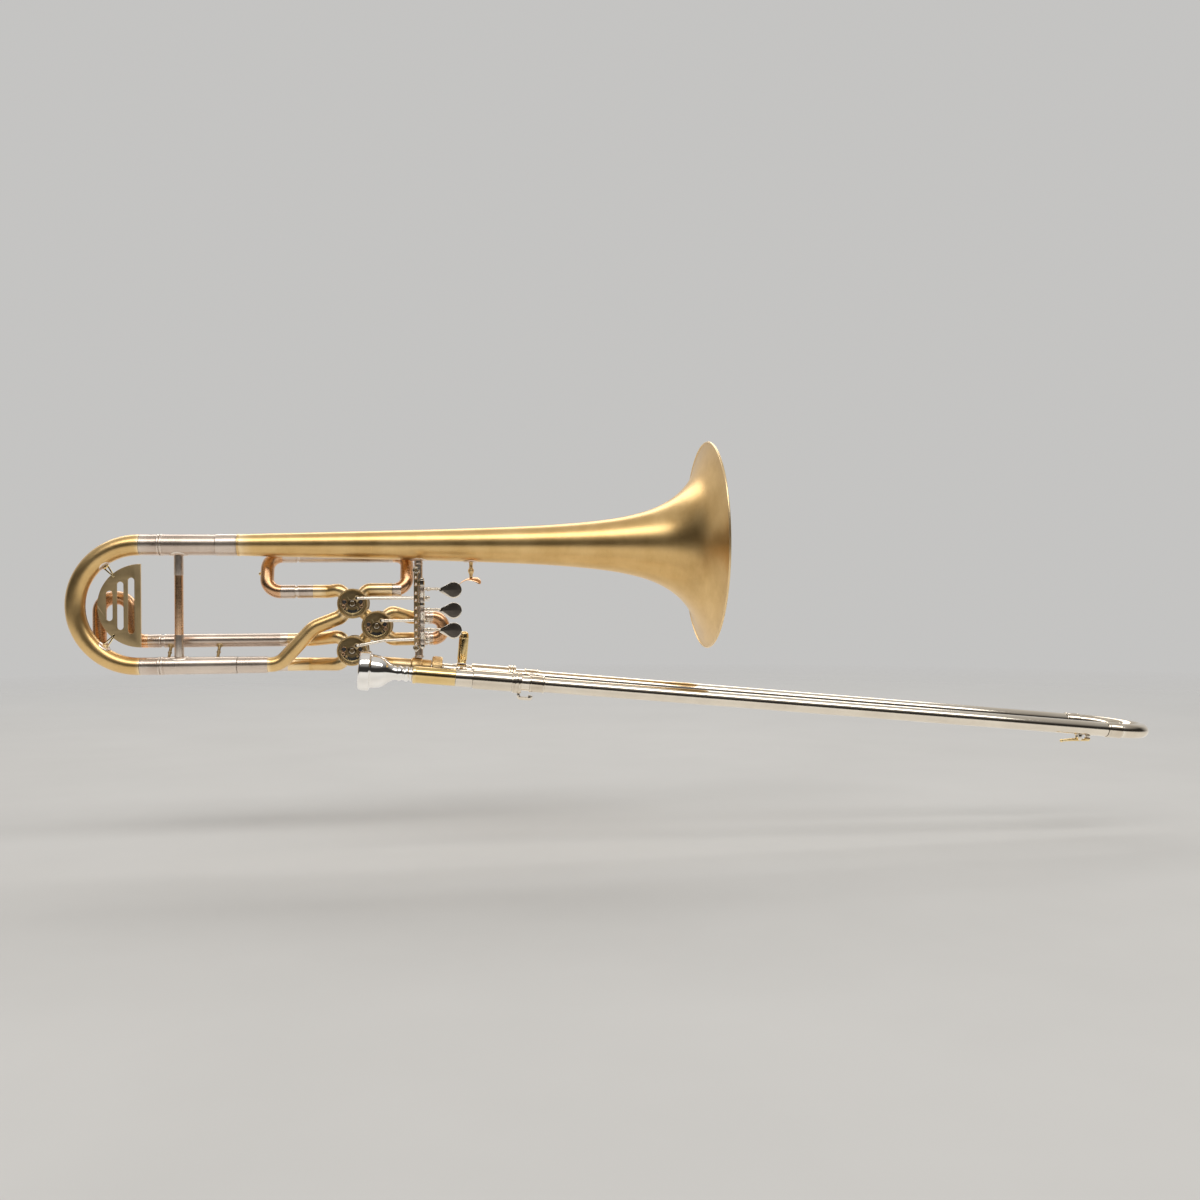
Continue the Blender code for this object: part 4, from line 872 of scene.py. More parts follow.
    v3_y, v3_top, v3_low, v3_open = 22, -97.5, -123, -563
    for name, sign, level in (("upper", 1, v3_top), ("lower", -1, v3_low)):
        run = bend([(-447, v3_y, level, 0), (-414, v3_y, level, 14), corner(3, -1, sign),
            port(3, -1, sign, PORT)])
        parts = on(BRASS, valve_pipe(run))
        profile = walled([(VALVE_TUBE + 0.3, v3_open), (VALVE_TUBE + 0.3, v3_open + 1.6),
            (VALVE_TUBE, v3_open + 1.8), (VALVE_TUBE, -448), (VALVE_TUBE + 0.15, -447.6),
            (VALVE_TUBE + 0.15, -440), (VALVE_TUBE, -439.6)], VALVE_BORE)
        parts += on(NICKEL, sleeve_on(profile, v3_y, level, 0.2))
        piece("valve_3_sleeve_%s_pipe" % name, parts)
    crook = bend([(-579, v3_y, v3_top, 0), (-593, v3_y, v3_top, 11), (-596.5, v3_y, -53, 14),
        (-627, v3_y, -53, 14), (-627, v3_y, v3_low, 30), (-579, v3_y, v3_low, 0)])
    parts = on(ROSE, valve_pipe(crook, VALVE_LEG - 0.5))
    for level in (v3_top, v3_low):
        legs = walled([(VALVE_TUBE, -579), (VALVE_TUBE, -568.2), (VALVE_TUBE + 0.25, -568),
            (VALVE_TUBE + 0.25, -566.2), (VALVE_LEG, -566), (VALVE_LEG, -475)], VALVE_LEG - 0.5)
        parts += on(NICKEL, sleeve_on(legs, v3_y, level, 0.2))
    piece("valve_3_slide_crook", parts, "valve_3_slide")

    run = Vector((0, -v3_y, -LEG_DROP - v3_top))
    for name, x in (("left", -556), ("right", -508)):
        begin, end = VALVE_TUBE + 0.05, run.length - LOWER_SLEEVE - 0.05
        post = solid([(2.2, begin), (2.4, begin + 0.9), (1.5, begin + 2.4), (1.5, (begin + end) / 2 - 1.2),
            (2.3, (begin + end) / 2), (1.5, (begin + end) / 2 + 1.2), (1.5, end - 2.4), (2.4, end - 0.9),
            (2.2, end)])
        piece("valve_3_post_%s_turned" % name, on(AGED, turned(post, (x, v3_y, v3_top), run, 32, 0.4),
            saddle(VALVE_TUBE, 3.6, 3.3, (x, v3_y, v3_top), X, run, 0.6), saddle(LOWER_SLEEVE, 3.8, 3.4,
            (x, 0, -LEG_DROP), X, -run, 0.6)))

    for name, first, second in (("12", 0, 1), ("23", 1, 2)):
        a = Vector((VALVE_CENTRES[first][0], 0, VALVE_CENTRES[first][1]))
        b = Vector((VALVE_CENTRES[second][0], 0, VALVE_CENTRES[second][1]))
        way = (b - a).normalized()
        length = (b - a).length
        profile = walled([(6.3, PORT), (6.15, PORT + 0.6), (6.15, length - PORT - 0.6), (6.3, length - PORT)],
            5.6)
        piece("valve_link_%s_pipe" % name, on(BRASS, turned(profile, a, way, 48, 0.1)))


NUT_RIBS = 44


def neckpipe():
    line = bend([port(3, 1, -1, PORT), port(3, 1, -1, PORT + 5) + (11,), tuple(slide_point(-74)) + (8,),
        tuple(slide_point(-55))])
    count = len(line)
    outer = [7.4 + 1.4 * min(1, i / (count - 4)) for i in range(count)]
    parts = on(BRASS, pipe(line, outer, [r - 0.8 for r in outer], 56))
    ring = [(9.2, -56), (9.6, -55.6), (10.3, -54.6), (10.5, -54), (10.5, -45.4), (10.1, -44.6), (9.5, -44.3),
        (9.35, -43.6), (9.35, -35.4), (9.2, -35), (8.2, -35), (8.2, -44.5), (8.5, -56)]
    parts += on(BRASS, turned(ring, slide_point(0), slide_x, 72, 0.3))
    bead = [(10.3, -50.6), (10.62, -50.2), (10.62, -49.4), (10.3, -49)]
    parts += on(BRASS, turned(bead, slide_point(0), slide_x, 72, 0.15))
    piece("neckpipe_tube", parts)
    nut = [(12.4, -23.8), (13.1, -24.5), (13.1, -34), (12.4, -34.6), (10.2, -34.6), (9.9, -34), (8.1, -34),
        (8, -24.2), (9.6, -23.9), (10.2, -23.8)]
    parts = on(BRASS, turned(nut, (0, 0, 0), X, 72, 0.35))
    for i in range(NUT_RIBS):
        angle = 2 * math.pi * i / NUT_RIBS
        at = (-33.2, 13.02 * math.cos(angle), 13.02 * math.sin(angle))
        parts += on(BRASS, turned([(0, 0), (0.25, 0.35), (0.42, 1), (0.42, 6.8), (0.25, 7.5), (0, 7.9)], at,
            X, 8, 0))
    piece("lock_nut_knurled", parts, "lock_nut", SLIDE)


# ---- posts under the bell
STANCHION_X = -305
HOOK_X = -251


def stanchion():
    top = -bell_radius(STANCHION_X)
    foot = slide_point(-47).z + 10.5 + 0.35
    at = (STANCHION_X, 0, 0)
    rod = solid([(4.2, top + 0.2), (4.2, foot + 2.2), (4.9, foot + 1.6), (5.1, foot + 0.7), (5, foot)])
    piece("bell_stanchion_rod", on(NICKEL, turned(rod, at, Z, 56, 0.3), saddle(bell_radius(STANCHION_X), 9, 8,
        at, X, DOWN, 0.9), turned([(4.1, top - 4.4), (4.6, top - 4.2), (4.75, top - 3.6), (4.6, top - 3),
        (4.1, top - 2.8)], at, Z, 56, 0.1)))


def finger_hook():
    top = -bell_radius(HOOK_X)
    at = (HOOK_X, 0, 0)
    knob = -27.2
    rod = solid([(2.5, top + 0.1), (1.9, top - 2.4), (1.7, knob + 4.2), (2.4, knob + 3.9), (2.4, knob + 3.3),
        (1.9, knob + 3), (2.8, knob + 2), (3.2, knob + 0.4), (2.8, knob - 1.6), (1.8, knob - 3.4),
        (1.7, -33.8)])
    parts = on(BRASS, turned(rod, at, Z, 40, 0.3))
    parts += on(NICKEL, saddle(bell_radius(HOOK_X), 7.8, 7, at, X, DOWN, 0.8))
    piece("finger_hook_post_turned", parts)
    # The hook is a bowed strip for the finger: it leaves a thin tip on one side and turns its face outward,
    # getting thicker, towards the round end on the other.
    steps, half = 44, 12.4
    sections, marks = [], []
    for i in range(steps + 1):
        share = -1 + 2 * i / steps
        along = 0.5 + 0.5 * share
        x = half * share if share < 0 else 0.84 * half * share
        middle = -35.1 - (6 if share < 0 else 3.6) * share * share
        round_end = math.sqrt(max(0, 1 - max(0, (share - 0.62) / 0.385) ** 2))
        width = (2 + 3.6 * min(1, along * 2)) * round_end
        thick = 0.55 + 0.95 * along * round_end
        tilt = math.radians(44) * along ** 1.3
        ring = []
        for k in range(20):
            a = 2 * math.pi * k / 20
            y, rise = width * math.cos(a), thick * math.sin(a) - 0.5 * (width * math.cos(a) / 5.9) ** 2
            ring.append((HOOK_X + x, y * math.cos(tilt) - rise * math.sin(tilt), middle + y * math.sin(tilt)
                + rise * math.cos(tilt)))
        sections.append(np.array(ring))
        marks.append(np.array([(x + half, p[1], p[2] - middle) for p in ring]))
    for at_end in (0, -1):
        cap = sections[at_end].mean(0, keepdims=True)
        mark = marks[at_end].mean(0, keepdims=True)
        sections = [cap] + sections if at_end == 0 else sections + [cap]
        marks = [mark] + marks if at_end == 0 else marks + [mark]
    piece("finger_hook_crescent", on(ROSE, rings(sections, marks, False, 20)))


# ---- lever rack, levers and link rods
LUGS = ((-43, -37.5), (-63.4, -59.6), (-83.7, -82.4), (-105, -101.6))


def lever_rack():
    left, right = HINGE_X - 8, HINGE_X - 3.8
    middle_z = (-107.6 - 23.6) / 2
    half = (107.6 - 23.6) / 2
    width = (right - left) / 2
    outline = [(-width, -half), (width, -half), (width, half), (-width, half)]
    parts = on(DARK, plate(outline, 4.6, 0.6, ((left + right) / 2, HINGE_Y, middle_z), upright()))
    for low, high in LUGS:
        hub = tube(low, high, 2.85, 1.4)
        parts += on(MIRROR, turned(hub, (HINGE_X, HINGE_Y, 0), Z, 40, 0.3))
        lug = [(right - 0.9 - HINGE_X, low + 0.2), (-2.3, low + 0.2), (-2.3, high - 0.2),
            (right - 0.9 - HINGE_X, high - 0.2)]
        parts += on(DARK, plate(lug, 3, 0.3, (HINGE_X, HINGE_Y, 0), upright()))
    # Round-headed screws up the column, a ball finial at its foot and rings that clamp it to the stanchion.
    column_x = (left + right) / 2
    for level in (-34.5, -41.5, -50.3, -57.4, -65, -72.3, -79.4, -87, -94, -100.6):
        parts += on(MIRROR, ball(1.15, (column_x, HINGE_Y - 2.35, level), OUT, 20))
        parts += on(ROSE, turned([(1.2, 0), (1.75, 0), (1.75, 0.35), (1.2, 0.5)],
            (column_x, HINGE_Y - 2.3, level), OUT, 24, 0.1))
    for level in (-28, -105.2):
        arm = [(-1.9, -1.6), (1.9, -1.6), (1.9, 1.6), (-1.9, 1.6)]
        depth = -4.3 - HINGE_Y - 2.4
        turn = [[1, 0, 0], [0, 0, 1], [0, -1, 0]]
        centre = (column_x + 1.6, HINGE_Y + 2 + depth / 2, level)
        parts += on(DARK, plate(arm, depth, 0.4, centre, turn))
    for level in (-27.2, -104.9):
        ring = [(1.9, -0.9), (3.1, -0.9), (3.1, 0.9), (1.9, 0.9)]
        parts += on(MIRROR, turned(ring, (column_x, HINGE_Y - 2, level), OUT, 40, 0.35))
        parts += on(DARK, *screw_head(1.7, 1.2, (column_x, HINGE_Y - 1.6, level), OUT, 0.7))
    parts += on(MIRROR, ball(1.5, (column_x, HINGE_Y, -107.3)))
    piece("lever_rack_column", parts)
    pin = [(0, -34.6), (1.2, -34.7), (2.2, -35.4), (2.4, -36), (2.4, -37.1), (1.3, -37.2), (1.3, -106.1),
        (0, -106.1)]
    parts = on(MIRROR, turned(pin, (HINGE_X, HINGE_Y, 0), Z, 40, 0.2))
    for stem, rod in zip(STEM_LEVELS, ROD_LEVELS):
        low, high = rod + 0.4, stem - 3
        if high - low > 2.5:
            parts += on(MIRROR, coil(2.75, 0.38, (high - low) / 0.95, (HINGE_X, HINGE_Y, low), Z, high - low))
    piece("lever_hinge_pin_and_springs", parts, node="lever_hinge_pin")


PADDLE_X = 31.5
PADDLE_RADIUS = 8.2


def teardrop(shrink):
    """Outline of a lever's thumb plate: a round end and two straight sides drawn in to a narrow neck."""
    radius = PADDLE_RADIUS - shrink
    neck = max(0.35, 1.5 - shrink)
    tip = 17.2 + shrink * 2.6
    reach = math.hypot(PADDLE_X - tip, neck)
    touch = math.degrees(math.acos((radius - neck) / reach)) if radius > neck else 90
    return arc((PADDLE_X, 0), radius, touch - 180, 180 - touch, 40) + [(tip, neck), (tip, -neck)]


def lever(number):
    stem, rod = STEM_LEVELS[number - 1], ROD_LEVELS[number - 1]
    top, bottom = stem + 2.7, rod - 4.2
    barrel = walled([(2.95, top), (2.95, top - 0.7), (2.3, top - 0.9), (2.3, top - 4.8), (2.95, top - 5),
        (2.95, top - 5.6), (2.25, top - 5.8), (2.25, bottom + 4.7), (2.95, bottom + 4.5),
        (2.95, bottom + 0.1)], 1.6)
    parts = on(NICKEL, turned(barrel, (HINGE_X, HINGE_Y, 0), Z, 44, 0.18))
    shaft = [(0, 2.2), (1.7, 2.3), (1.4, 3.4), (1.3, 4.6), (1.9, 5.4), (2.1, 6.6), (1.9, 7.8), (1.35, 8.6),
        (1.25, 10.5), (1.25, 13.6), (1.6, 14.2), (1.6, 14.9), (1.2, 15.4), (1.1, 18.6), (0, 18.8)]
    parts += on(MIRROR, turned(shaft, (HINGE_X, HINGE_Y, stem), X, 32, 0.25))
    turn = upright()
    parts += on(MIRROR, plate(teardrop(0), 1.5, 0.35, (HINGE_X, HINGE_Y, stem - 1.2), turn))
    parts += on(INSET, plate(teardrop(1.15), 0.4, 0.1, (HINGE_X, HINGE_Y - 0.62, stem - 1.2), turn),
        plate(teardrop(1.15), 0.4, 0.1, (HINGE_X, HINGE_Y + 0.68, stem - 1.2), turn))
    lean = math.radians(90 - math.degrees(LEVER_SWING) / 2)
    c, s = math.cos(lean), math.sin(lean)
    flat = [[c, -s, 0], [s, c, 0], [0, 0, 1]]
    arm = [(2.2, -1.4)] + arc((LEVER_ARM, 0), 2.3, -80, 80, 12) + [(2.2, 1.4)]
    parts += on(MIRROR, plate(arm, 2, 0.35, (HINGE_X, HINGE_Y, rod - 2.6), flat))
    piece("lever_%d_paddle" % number, parts, "lever_%d" % number)


def link_rod(number):
    x, z = VALVE_CENTRES[number - 1]
    ball_at = Vector((x + STUD, ROD_Y, z + STUD))
    tip = Vector((HINGE_X + LEVER_ARM * math.sin(LEVER_SWING / 2), ROD_Y, ROD_LEVELS[number - 1]))
    if number == 3:
        run = bend([tuple(ball_at) + (0,), (-338, ROD_Y, -97.4, 20), tuple(tip) + (0,)])
    else:
        run = [ball_at, tip]
    parts = on(MIRROR, pipe(run, 1.5, None, 24))
    way = (run[1] - run[0]).normalized()
    ferrule = [(0, 2), (1.4, 2.1), (1.85, 3), (1.85, 6.2), (1.4, 7), (0, 7.1)]
    parts += on(MIRROR, turned(ferrule, ball_at, way, 28, 0.25))
    eye = [(1.72, 24.9), (2.65, 24.9), (2.65, 27.3), (1.72, 27.3)]
    parts += on(AGED, turned(eye, (ball_at.x, 0, ball_at.z), OUT, 40, 0.4))
    face = [(0, 25.4), (1.6, 25.4), (1.6, 26.9), (1.1, 27.2), (0, 27.3)]
    parts += on(INSET, turned(face, (ball_at.x, 0, ball_at.z), OUT, 32, 0.2))
    fork = [(0, -1), (2.3, -1), (2.5, -0.5), (2.5, 1), (2.2, 1.5), (0.9, 1.5), (0.8, 2), (0, 2.05)]
    parts += on(MIRROR, turned(fork, tip, Z, 36, 0.2))
    before = (run[-2] - run[-1]).normalized()
    end_sleeve = [(0, 2.2), (1.5, 2.3), (1.6, 3), (1.6, 6.4), (1.2, 7), (0, 7.1)]
    parts += on(GOLD, turned(end_sleeve, tip, before, 28, 0.25))
    piece("link_rod_%d_wire" % number, parts, "link_rod_%d" % number)


# ---- hand slide, fixed half
def fixed_slide():
    near, far = (0, NEAR, 0), (0, 0, 0)
    inner = walled([(6.95, 6.3), (6.95, 646), (6.85, 650)], 6.4)
    sleeve_near = walled([(8.15, -10.1), (8.3, -9.7), (8.3, 5.9), (8.1, 6.1)], 6.4)
    piece("near_inner_tube_chromed", on(MIRROR, turned(inner, near, X, 56, 0.1), turned(sleeve_near, near, X,
        56, 0.2)), "root", SLIDE)
    taper = walled([(7.8, -54), (7.4, -22), (7.05, -21.4), (6.95, -20.8), (6.95, 6.3)], 6.4)
    piece("far_inner_tube_chromed", on(MIRROR, turned(inner, far, X, 56, 0.1),
        turned(taper, far, X, 56, 0.2)), "root", SLIDE)
    receiver = [(8.25, -10.4), (8.25, -47.6), (8.45, -48.2), (8.85, -48.5), (8.85, -51), (8.5, -51.2),
        (6.6, -51.2), (5.9, -49), (5.9, -10.4)]
    piece("mouthpiece_receiver_tube", on(GOLD, turned(receiver, near, X, 64, 0.2)), "root", SLIDE)

    barrel = [(9.05, 6.5), (9.3, 7), (9.3, 43.9), (9, 44.6), (7.9, 44.6), (7.9, 10), (7.15, 9.4), (7.15, 6.5)]
    cork = [(7.85, 11), (7.85, 30), (7.5, 30), (7.5, 11)]
    piece("near_cork_barrel_turned", on(MIRROR, turned(barrel, near, X, 64, 0.2))
        + on(CORK, turned(cork, near, X, 48, 0.1)), "root", SLIDE)
    rings_far = [(9.9, 44.5), (10.7, 44.8), (10.9, 45.4), (10.9, 46.4), (10.5, 46.9), (9.9, 47.1),
        (10.5, 47.4), (10.9, 47.9), (10.9, 49), (10.5, 49.5), (9.9, 49.7), (10.5, 50.1), (10.9, 50.6),
        (10.9, 51.7), (10.5, 52.5), (7.9, 52.6), (7.9, 44.5)]
    piece("far_cork_barrel_turned", on(MIRROR, turned(barrel, far, X, 64, 0.2))
        + on(CORK, turned(cork, far, X, 48, 0.1)) + on(MIRROR, turned(rings_far, far, X, 64, 0.2)), "root",
        SLIDE)

    ring = walled([(9.9, 45.1), (10.1, 45.4), (10.1, 47.2), (10.4, 47.6), (10.65, 48.1), (10.65, 49.6),
        (10.3, 50.2), (10.3, 51.4), (10.65, 51.9), (10.65, 53.2), (10.3, 53.9)], 7.8)
    parts = on(MIRROR, turned(ring, near, X, 64, 0.2))
    # Hooked tab under the ring: a plate with a rounded end and a slot, and a golden stud in it.
    tab = ([(50.6, -10), (50.6, -14)] + arc((54, -13.2), 3.2, 200, 270, 8) + arc((62.8, -13.2), 3.2, -90, 20,
        12) + [(62.2, -11), (61.2, -11.4)] + arc((60.6, -12), 1.3, 0, -90, 6) + [(54.6, -13.3), (53.2, -12.2),
        (53.2, -10)])
    parts += on(MIRROR, plate(tab, 3.6, 0.4, (0, NEAR, 0), upright()))
    piece("slide_lock_hook", parts, "slide_lock", SLIDE, node="slide_lock_ring")

    at = (-4, 0, 0)
    rod = [(0, 8.3), (4.9, 8.4), (5, 9.4), (4.3, 10.4), (4.1, 12.5), (4.5, 14.5), (4.1, 16.5), (3.7, 20),
        (3.7, 54.6), (4.1, 58.1), (4.5, 60.1), (4.1, 62.1), (4.3, 64.2), (5, 65.2), (4.9, 73.9), (0, 74)]
    parts = on(MIRROR, turned(rod, at, OUT, 48, 0.4))
    clamp = walled([(8.2, -5.4), (8.55, -5), (8.55, -4.2), (8, -3.6), (7.9, 3.6), (8.55, 4.2), (8.55, 5),
        (8.2, 5.4)], 7.1)
    parts += on(MIRROR, turned(clamp, at, X, 64, 0.2))
    for way in (-1, 1):
        # Pointed tongues that the clamp lays along the tube.
        for turn_up in (-1, 0, 1):
            angle = turn_up * math.radians(62) + math.radians(90)
            parts += on(MIRROR, saddle(7.25, 3.9, 1.9, (-4 + way * 5.4, 0, 0), X, (0, -math.sin(angle) * 0.9,
                math.cos(angle)), 0.5))
    piece("inner_brace_turned", parts, "root", SLIDE)
    post = [(0, 8.65), (4.6, 8.7), (4.9, 9.2), (4.4, 10), (4.5, 11.2), (5.05, 12.4), (5.05, 35.8),
        (4.85, 38.4), (4, 40.4), (2.6, 41.6), (0, 42)]
    piece("hand_post_turned", on(GOLD, turned(post, at, Z, 56, 0.3),
        turned([(5, 33.9), (5.25, 34.2), (5.25, 34.9), (5, 35.2)], at, Z, 56, 0.1)), "root", SLIDE)


def mouthpiece():
    cup = [(5.7, -52), (6.7, -52), (6.95, -52.4), (6.95, -53.6), (6.3, -54.2), (6.5, -55.2), (7.45, -56.4),
        (7.6, -57.6), (7.3, -58.8), (6.55, -59.6), (6.75, -60.6), (6.2, -61.3), (6.9, -62.2), (7.5, -63.6),
        (7.5, -65.4), (6.8, -66.6), (6.9, -68.6), (7.6, -70.6), (9.2, -73.4), (11.6, -76.4), (13.9, -79.4),
        (15.3, -83), (15.9, -87), (16.2, -90.6), (16.9, -91.6), (18.4, -92), (19.1, -92.8), (19.15, -94),
        (19.15, -99.8), (18.8, -101.3), (17.8, -102.3), (16.3, -102.65), (14.6, -102.2), (13.4, -101),
        (13, -99.2), (12.8, -95), (12.2, -90), (10.8, -85.4), (8.4, -81.2), (5.6, -78.4), (3.7, -76.4),
        (3.4, -74), (3.5, -68), (4.6, -30.1), (5.45, -30.1)]
    piece("mouthpiece_turned", on(SILVER, turned(cup, (0, NEAR, 0), X, 96, 0.16)), "mouthpiece", SLIDE)


# ---- hand slide, moving half
KEY_X = 638
KEY_Z = -11.6


def moving_slide():
    near, far = (0, NEAR, 0), (0, 0, 0)
    body = "hand_slide"
    outer = tube(12, TUBE_END, TUBE_RADIUS, 7.1)
    parts = on(MIRROR, turned(outer, near, X, 64, 0.1))
    nipple = walled([(2.5, 7.25), (2.9, 7.5), (2.9, 8.1), (2.3, 8.5), (2.2, 9.5)], 1.5)
    parts += on(MIRROR, turned(nipple, (648, NEAR, 0), DOWN, 32, 0.15), saddle(TUBE_RADIUS, 5, 3.4,
        (KEY_X, NEAR, 0), X, DOWN, 0.7))
    for side in (-1, 1):
        ear = [(-2, -7.3), (2, -7.3)] + arc((0, KEY_Z), 1.9, 0, -180, 10)
        parts += on(MIRROR, plate(ear, 1.2, 0.2, (KEY_X, NEAR + side * 3.2, 0), upright()))
    pin = solid([(0.9, -3.75), (0.9, 3.75)])
    parts += on(MIRROR, turned(pin, (KEY_X, NEAR, KEY_Z), OUT, 20, 0.2))
    piece("near_outer_tube_drawn", parts, body, SLIDE)
    piece("far_outer_tube_drawn", on(MIRROR, turned(outer, far, X, 64, 0.1)), body, SLIDE)

    half = -NEAR / 2
    line = [Vector((BOW_BEGIN - 2, NEAR, 0))]
    for i in range(49):
        angle = math.pi * i / 48
        line.append(Vector((BOW_BEGIN + half * math.sin(angle), -half - half * math.cos(angle), 0)))
    line.append(Vector((BOW_BEGIN - 2, 0, 0)))
    parts = on(MIRROR, pipe(line, TUBE_RADIUS, 6.8, 56))
    for level in (near, far):
        ferrule = walled([(7.95, TUBE_END + 0.4), (8.25, TUBE_END + 0.9), (8.25, TUBE_END + 2.4),
            (7.95, TUBE_END + 2.8), (8.05, TUBE_END + 3.2), (8.05, BOW_BEGIN - 3.6), (8.25, BOW_BEGIN - 3.2),
            (8.25, BOW_BEGIN - 1.8), (7.6, BOW_BEGIN - 1.2)], 6.8)
        parts += on(MIRROR, turned(ferrule, level, X, 56, 0.15))
    seat = solid([(5.2, BOW_BEGIN + half + 6.6), (5, BOW_BEGIN + half + 8.3), (4.7, BOW_BEGIN + half + 8.4)])
    parts += on(MIRROR, turned(seat, (0, -half, 0), X, 40, 0.2))
    piece("end_bow_tube", parts, body, SLIDE)
    tip = BOW_BEGIN + half
    bumper = solid([(4.55, tip + 8.45), (4.6, tip + 9), (4.55, tip + 11.6), (4, tip + 12.6), (3, tip + 13)])
    piece("end_bumper_rubber", on(RUBBER_AND_SHADE, turned(bumper, (0, -half, 0), X, 48, 0.25)), body, SLIDE)

    at = (69, 0, 0)
    rod = [(0, 8.3), (5, 8.4), (5.1, 9.4), (4.4, 10.4), (4.2, 12.5), (4.6, 14.5), (4.2, 16.5), (3.8, 20),
        (3.8, 62.6), (4.2, 66.1), (4.6, 68.1), (4.2, 70.1), (4.4, 72.2), (5.1, 73.2), (5, 74.2), (0, 74.3)]
    parts = on(MIRROR, turned(rod, at, OUT, 48, 0.4))
    for level in (0, NEAR):
        clamp = walled([(8.1, -7.4), (8.6, -7), (8.6, -6), (8.1, -5.4), (8, 5.4), (8.6, 6), (8.6, 7),
            (8.1, 7.4)], 7.45)
        parts += on(MIRROR, turned(clamp, (69, level, 0), X, 64, 0.2))
    piece("outer_brace_turned", parts, body, SLIDE)

    # The key's arm tapers away from its pivot and dips towards the thumb end.
    arm = [Vector((KEY_X + along, NEAR, KEY_Z - drop)) for along, drop in ((12, 1.2), (8, 1.2), (2, 1.3),
        (-4, 1.5), (-10, 2.2), (-15, 3), (-18.6, 3.7))]
    parts = on(GOLD, pipe(arm, [0.9, 1.15, 1.4, 1.5, 1.45, 1.35, 1.3], None, 28),
        ball(1.75, arm[-1] + Vector((0.4, 0, 0)), X), turned(solid([(1.7, -2), (1.7, 2)]),
        (KEY_X, NEAR, KEY_Z), OUT, 28, 0.25))
    pad = solid([(2.6, -1), (3.15, -0.4), (3.15, 0.7)])
    parts += on(GOLD, turned(pad, (648, NEAR, KEY_Z), Z, 32, 0.2))
    parts += on(CORK, turned(solid([(2.7, 0.7), (2.7, 1.6)]), (648, NEAR, KEY_Z), Z, 32, 0.2))
    piece("water_key_lever", parts, "water_key", SLIDE)


# ---- camera, floor and light
CAMERA_PLACE = (-0.020785, -1.232041, 0.073691)
CAMERA_TURN = 0.13177517
CAMERA_ROLL = -0.00604032
CAMERA_LENS = 35.25


def camera():
    """The viewpoint: level with the instrument, turned a little from square, with a slight roll."""
    c, s = math.cos(CAMERA_ROLL), math.sin(CAMERA_ROLL)
    level = Matrix(((math.cos(CAMERA_TURN), -math.sin(CAMERA_TURN), 0), (0, 0, -1),
        (math.sin(CAMERA_TURN), math.cos(CAMERA_TURN), 0)))
    right, down, ahead = Matrix(((c, -s, 0), (s, c, 0), (0, 0, 1))) @ level
    data = bpy.data.cameras.new("camera")
    data.lens = CAMERA_LENS
    data.sensor_width = 36
    data.clip_end = 50
    eye = bpy.data.objects.new("camera", data)
    eye.matrix_world = Matrix.Translation(CAMERA_PLACE) @ Matrix((right, -down, -ahead)).transposed().to_4x4()
    bpy.context.scene.collection.objects.link(eye)
    bpy.context.scene.camera = eye


FLOOR_GAP = 0.10
FLOOR_RADIUS = 7
FADE_START, FADE_END = 1, 3.4
MIRRORED_PAINT = (0.82, 0.815, 0.80)
SEEN_PAINT = [(0.3, (0.545, 0.54, 0.53)), (0.7, (0.575, 0.57, 0.56))]


def floor():
    """Pale matt floor, a hand's width below the lowest part of the slide."""
    form = bmesh.new()
    bmesh.ops.create_circle(form, cap_ends=True, radius=FLOOR_RADIUS, segments=96)
    bmesh.ops.translate(form, verts=form.verts, vec=(0, 0, CAD_BOX[0][2] - FLOOR_GAP))
    mesh = bpy.data.meshes.new("floor")
    form.to_mesh(mesh)
    form.free()
    material, tree, shader = blank("floor_paint")
    place = tree.nodes.new("ShaderNodeTexCoord")
    speck = noise(tree, place.outputs["Object"], 3, 4, 0.6)
    # The paint is seen a little dimmer than the metal mirrors it, so polished edges stand off the floor.
    path = tree.nodes.new("ShaderNodeLightPath")
    seen = ramp(tree, speck, SEEN_PAINT)
    link(tree, blended(tree, path.outputs["Is Camera Ray"], MIRRORED_PAINT, seen),
        shader.inputs["Base Color"])
    shader.inputs["Roughness"].default_value = 0.85
    # The painted floor fades into the backdrop far behind the instrument.
    reach = node(tree, "ShaderNodeVectorMath")
    reach.operation = "LENGTH"
    link(tree, place.outputs["Object"], reach.inputs[0])
    fade = ranged(tree, reach.outputs["Value"], 1, 0, FADE_START, FADE_END)
    link(tree, fade, shader.inputs["Alpha"])
    mesh.materials.append(material)
    ground = bpy.data.objects.new("floor", mesh)
    bpy.context.scene.collection.objects.link(ground)


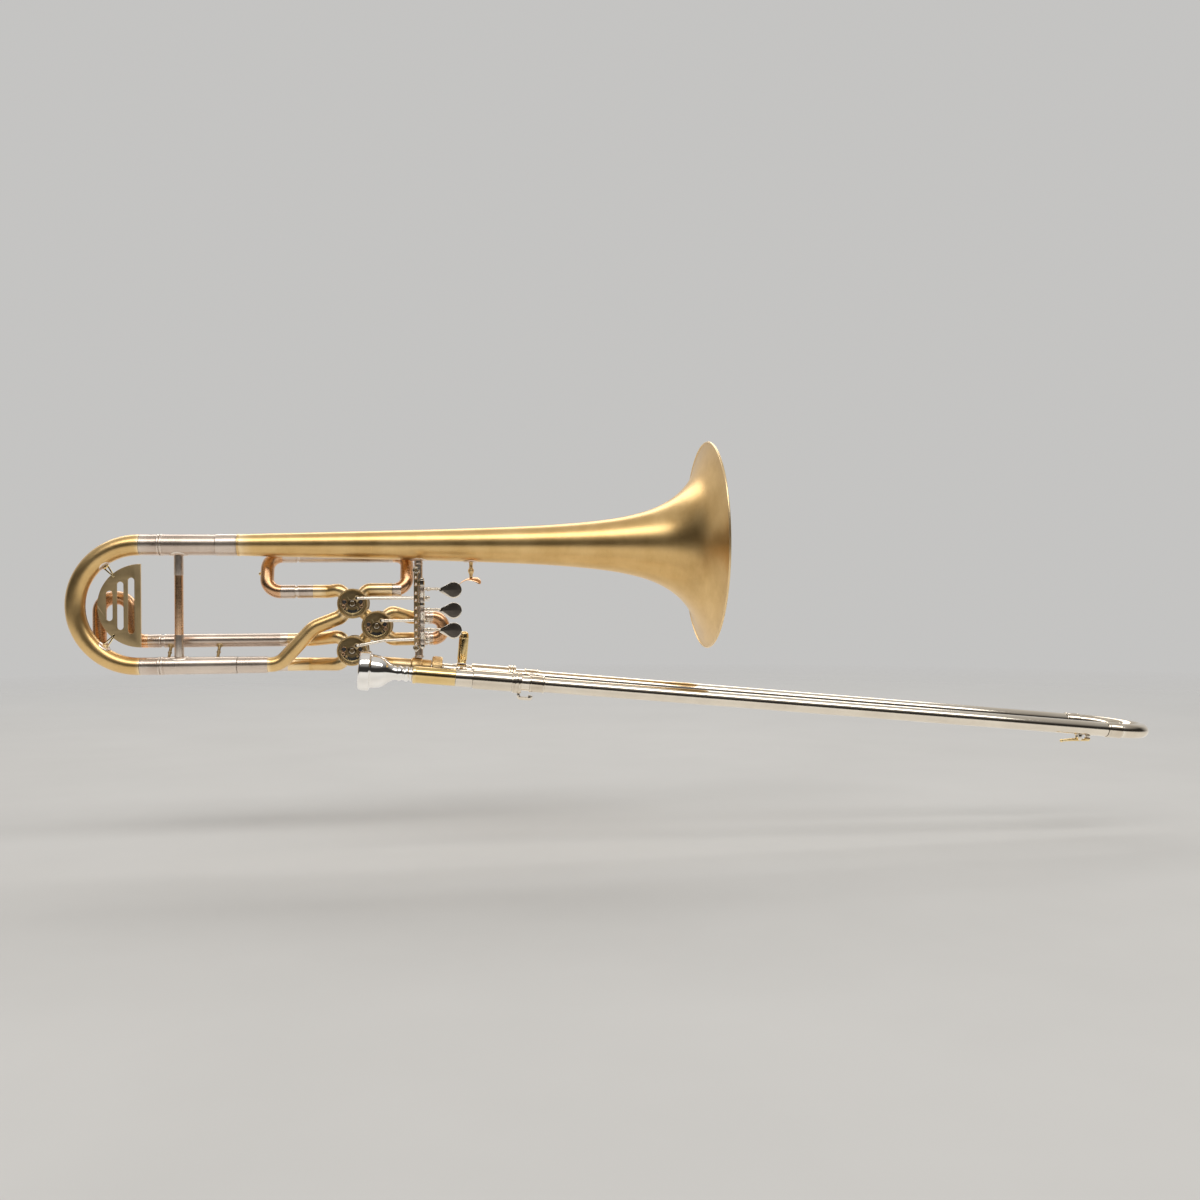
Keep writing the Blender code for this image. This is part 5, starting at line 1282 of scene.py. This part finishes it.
BACKDROP = (0.555, 0.55, 0.54, 1)
CEILING = [(0.36, (0.030, 0.028, 0.026)), (0.68, (0.034, 0.032, 0.030)), (0.81, (0.34, 0.33, 0.315)),
    (1, (0.66, 0.645, 0.62))]
REAR_WALL = (0.62, 0.605, 0.58)
LAMPS = (
    ("key_softbox", (0.3, -1.7, 2.5), (0.1, 0, 0), (5, 1.1), 58),
    ("back_softbox", (0, 2.4, 2.4), (0, 0.2, 0), (5, 1.2), 50),
)
LAMP_COLOUR = (1, 0.985, 0.96)


def lights():
    """Pale room to look at; the metal mirrors a dim horizon between a bright ceiling and the floor."""
    scene = bpy.context.scene
    scene.view_settings.view_transform = "Standard"
    world = bpy.data.worlds.new("studio")
    scene.world = world
    world.use_nodes = True
    tree = world.node_tree
    backdrop = tree.nodes["Background"]
    backdrop.inputs["Color"].default_value = BACKDROP
    backdrop.inputs["Strength"].default_value = 1
    room = tree.nodes.new("ShaderNodeBackground")
    place = tree.nodes.new("ShaderNodeTexCoord")
    split = tree.nodes.new("ShaderNodeSeparateXYZ")
    link(tree, place.outputs["Generated"], split.inputs["Vector"])
    height = ranged(tree, split.outputs["Z"], 0, 1, -1, 1)
    front = ramp(tree, height, CEILING)
    behind = ranged(tree, split.outputs["Y"], 0, 1, 0.05, 0.55)
    colour = blended(tree, behind, front, REAR_WALL)
    link(tree, colour, room.inputs["Color"])
    room.inputs["Strength"].default_value = 1
    path = tree.nodes.new("ShaderNodeLightPath")
    mix = tree.nodes.new("ShaderNodeMixShader")
    link(tree, path.outputs["Is Camera Ray"], mix.inputs["Fac"])
    link(tree, room.outputs["Background"], mix.inputs[1])
    link(tree, backdrop.outputs["Background"], mix.inputs[2])
    link(tree, mix.outputs["Shader"], tree.nodes["World Output"].inputs["Surface"])
    for name, at, aim, size, power in LAMPS:
        data = bpy.data.lights.new(name, "AREA")
        data.shape = "RECTANGLE"
        data.size, data.size_y = size
        data.energy = power
        data.color = LAMP_COLOUR
        lamp = bpy.data.objects.new(name, data)
        lamp.location = at
        lamp.rotation_euler = (Vector(aim) - Vector(at)).to_track_quat("-Z", "Y").to_euler()
        scene.collection.objects.link(lamp)


camera()
floor()
lights()
bell()
tuning_sleeves()
tuning_bow()
bow_brace()
counterweight()
for valve_number in (1, 2, 3):
    valve(valve_number)
    lever(valve_number)
    link_rod(valve_number)
valve_pipes()
neckpipe()
stanchion()
finger_hook()
lever_rack()
fixed_slide()
mouthpiece()
moving_slide()
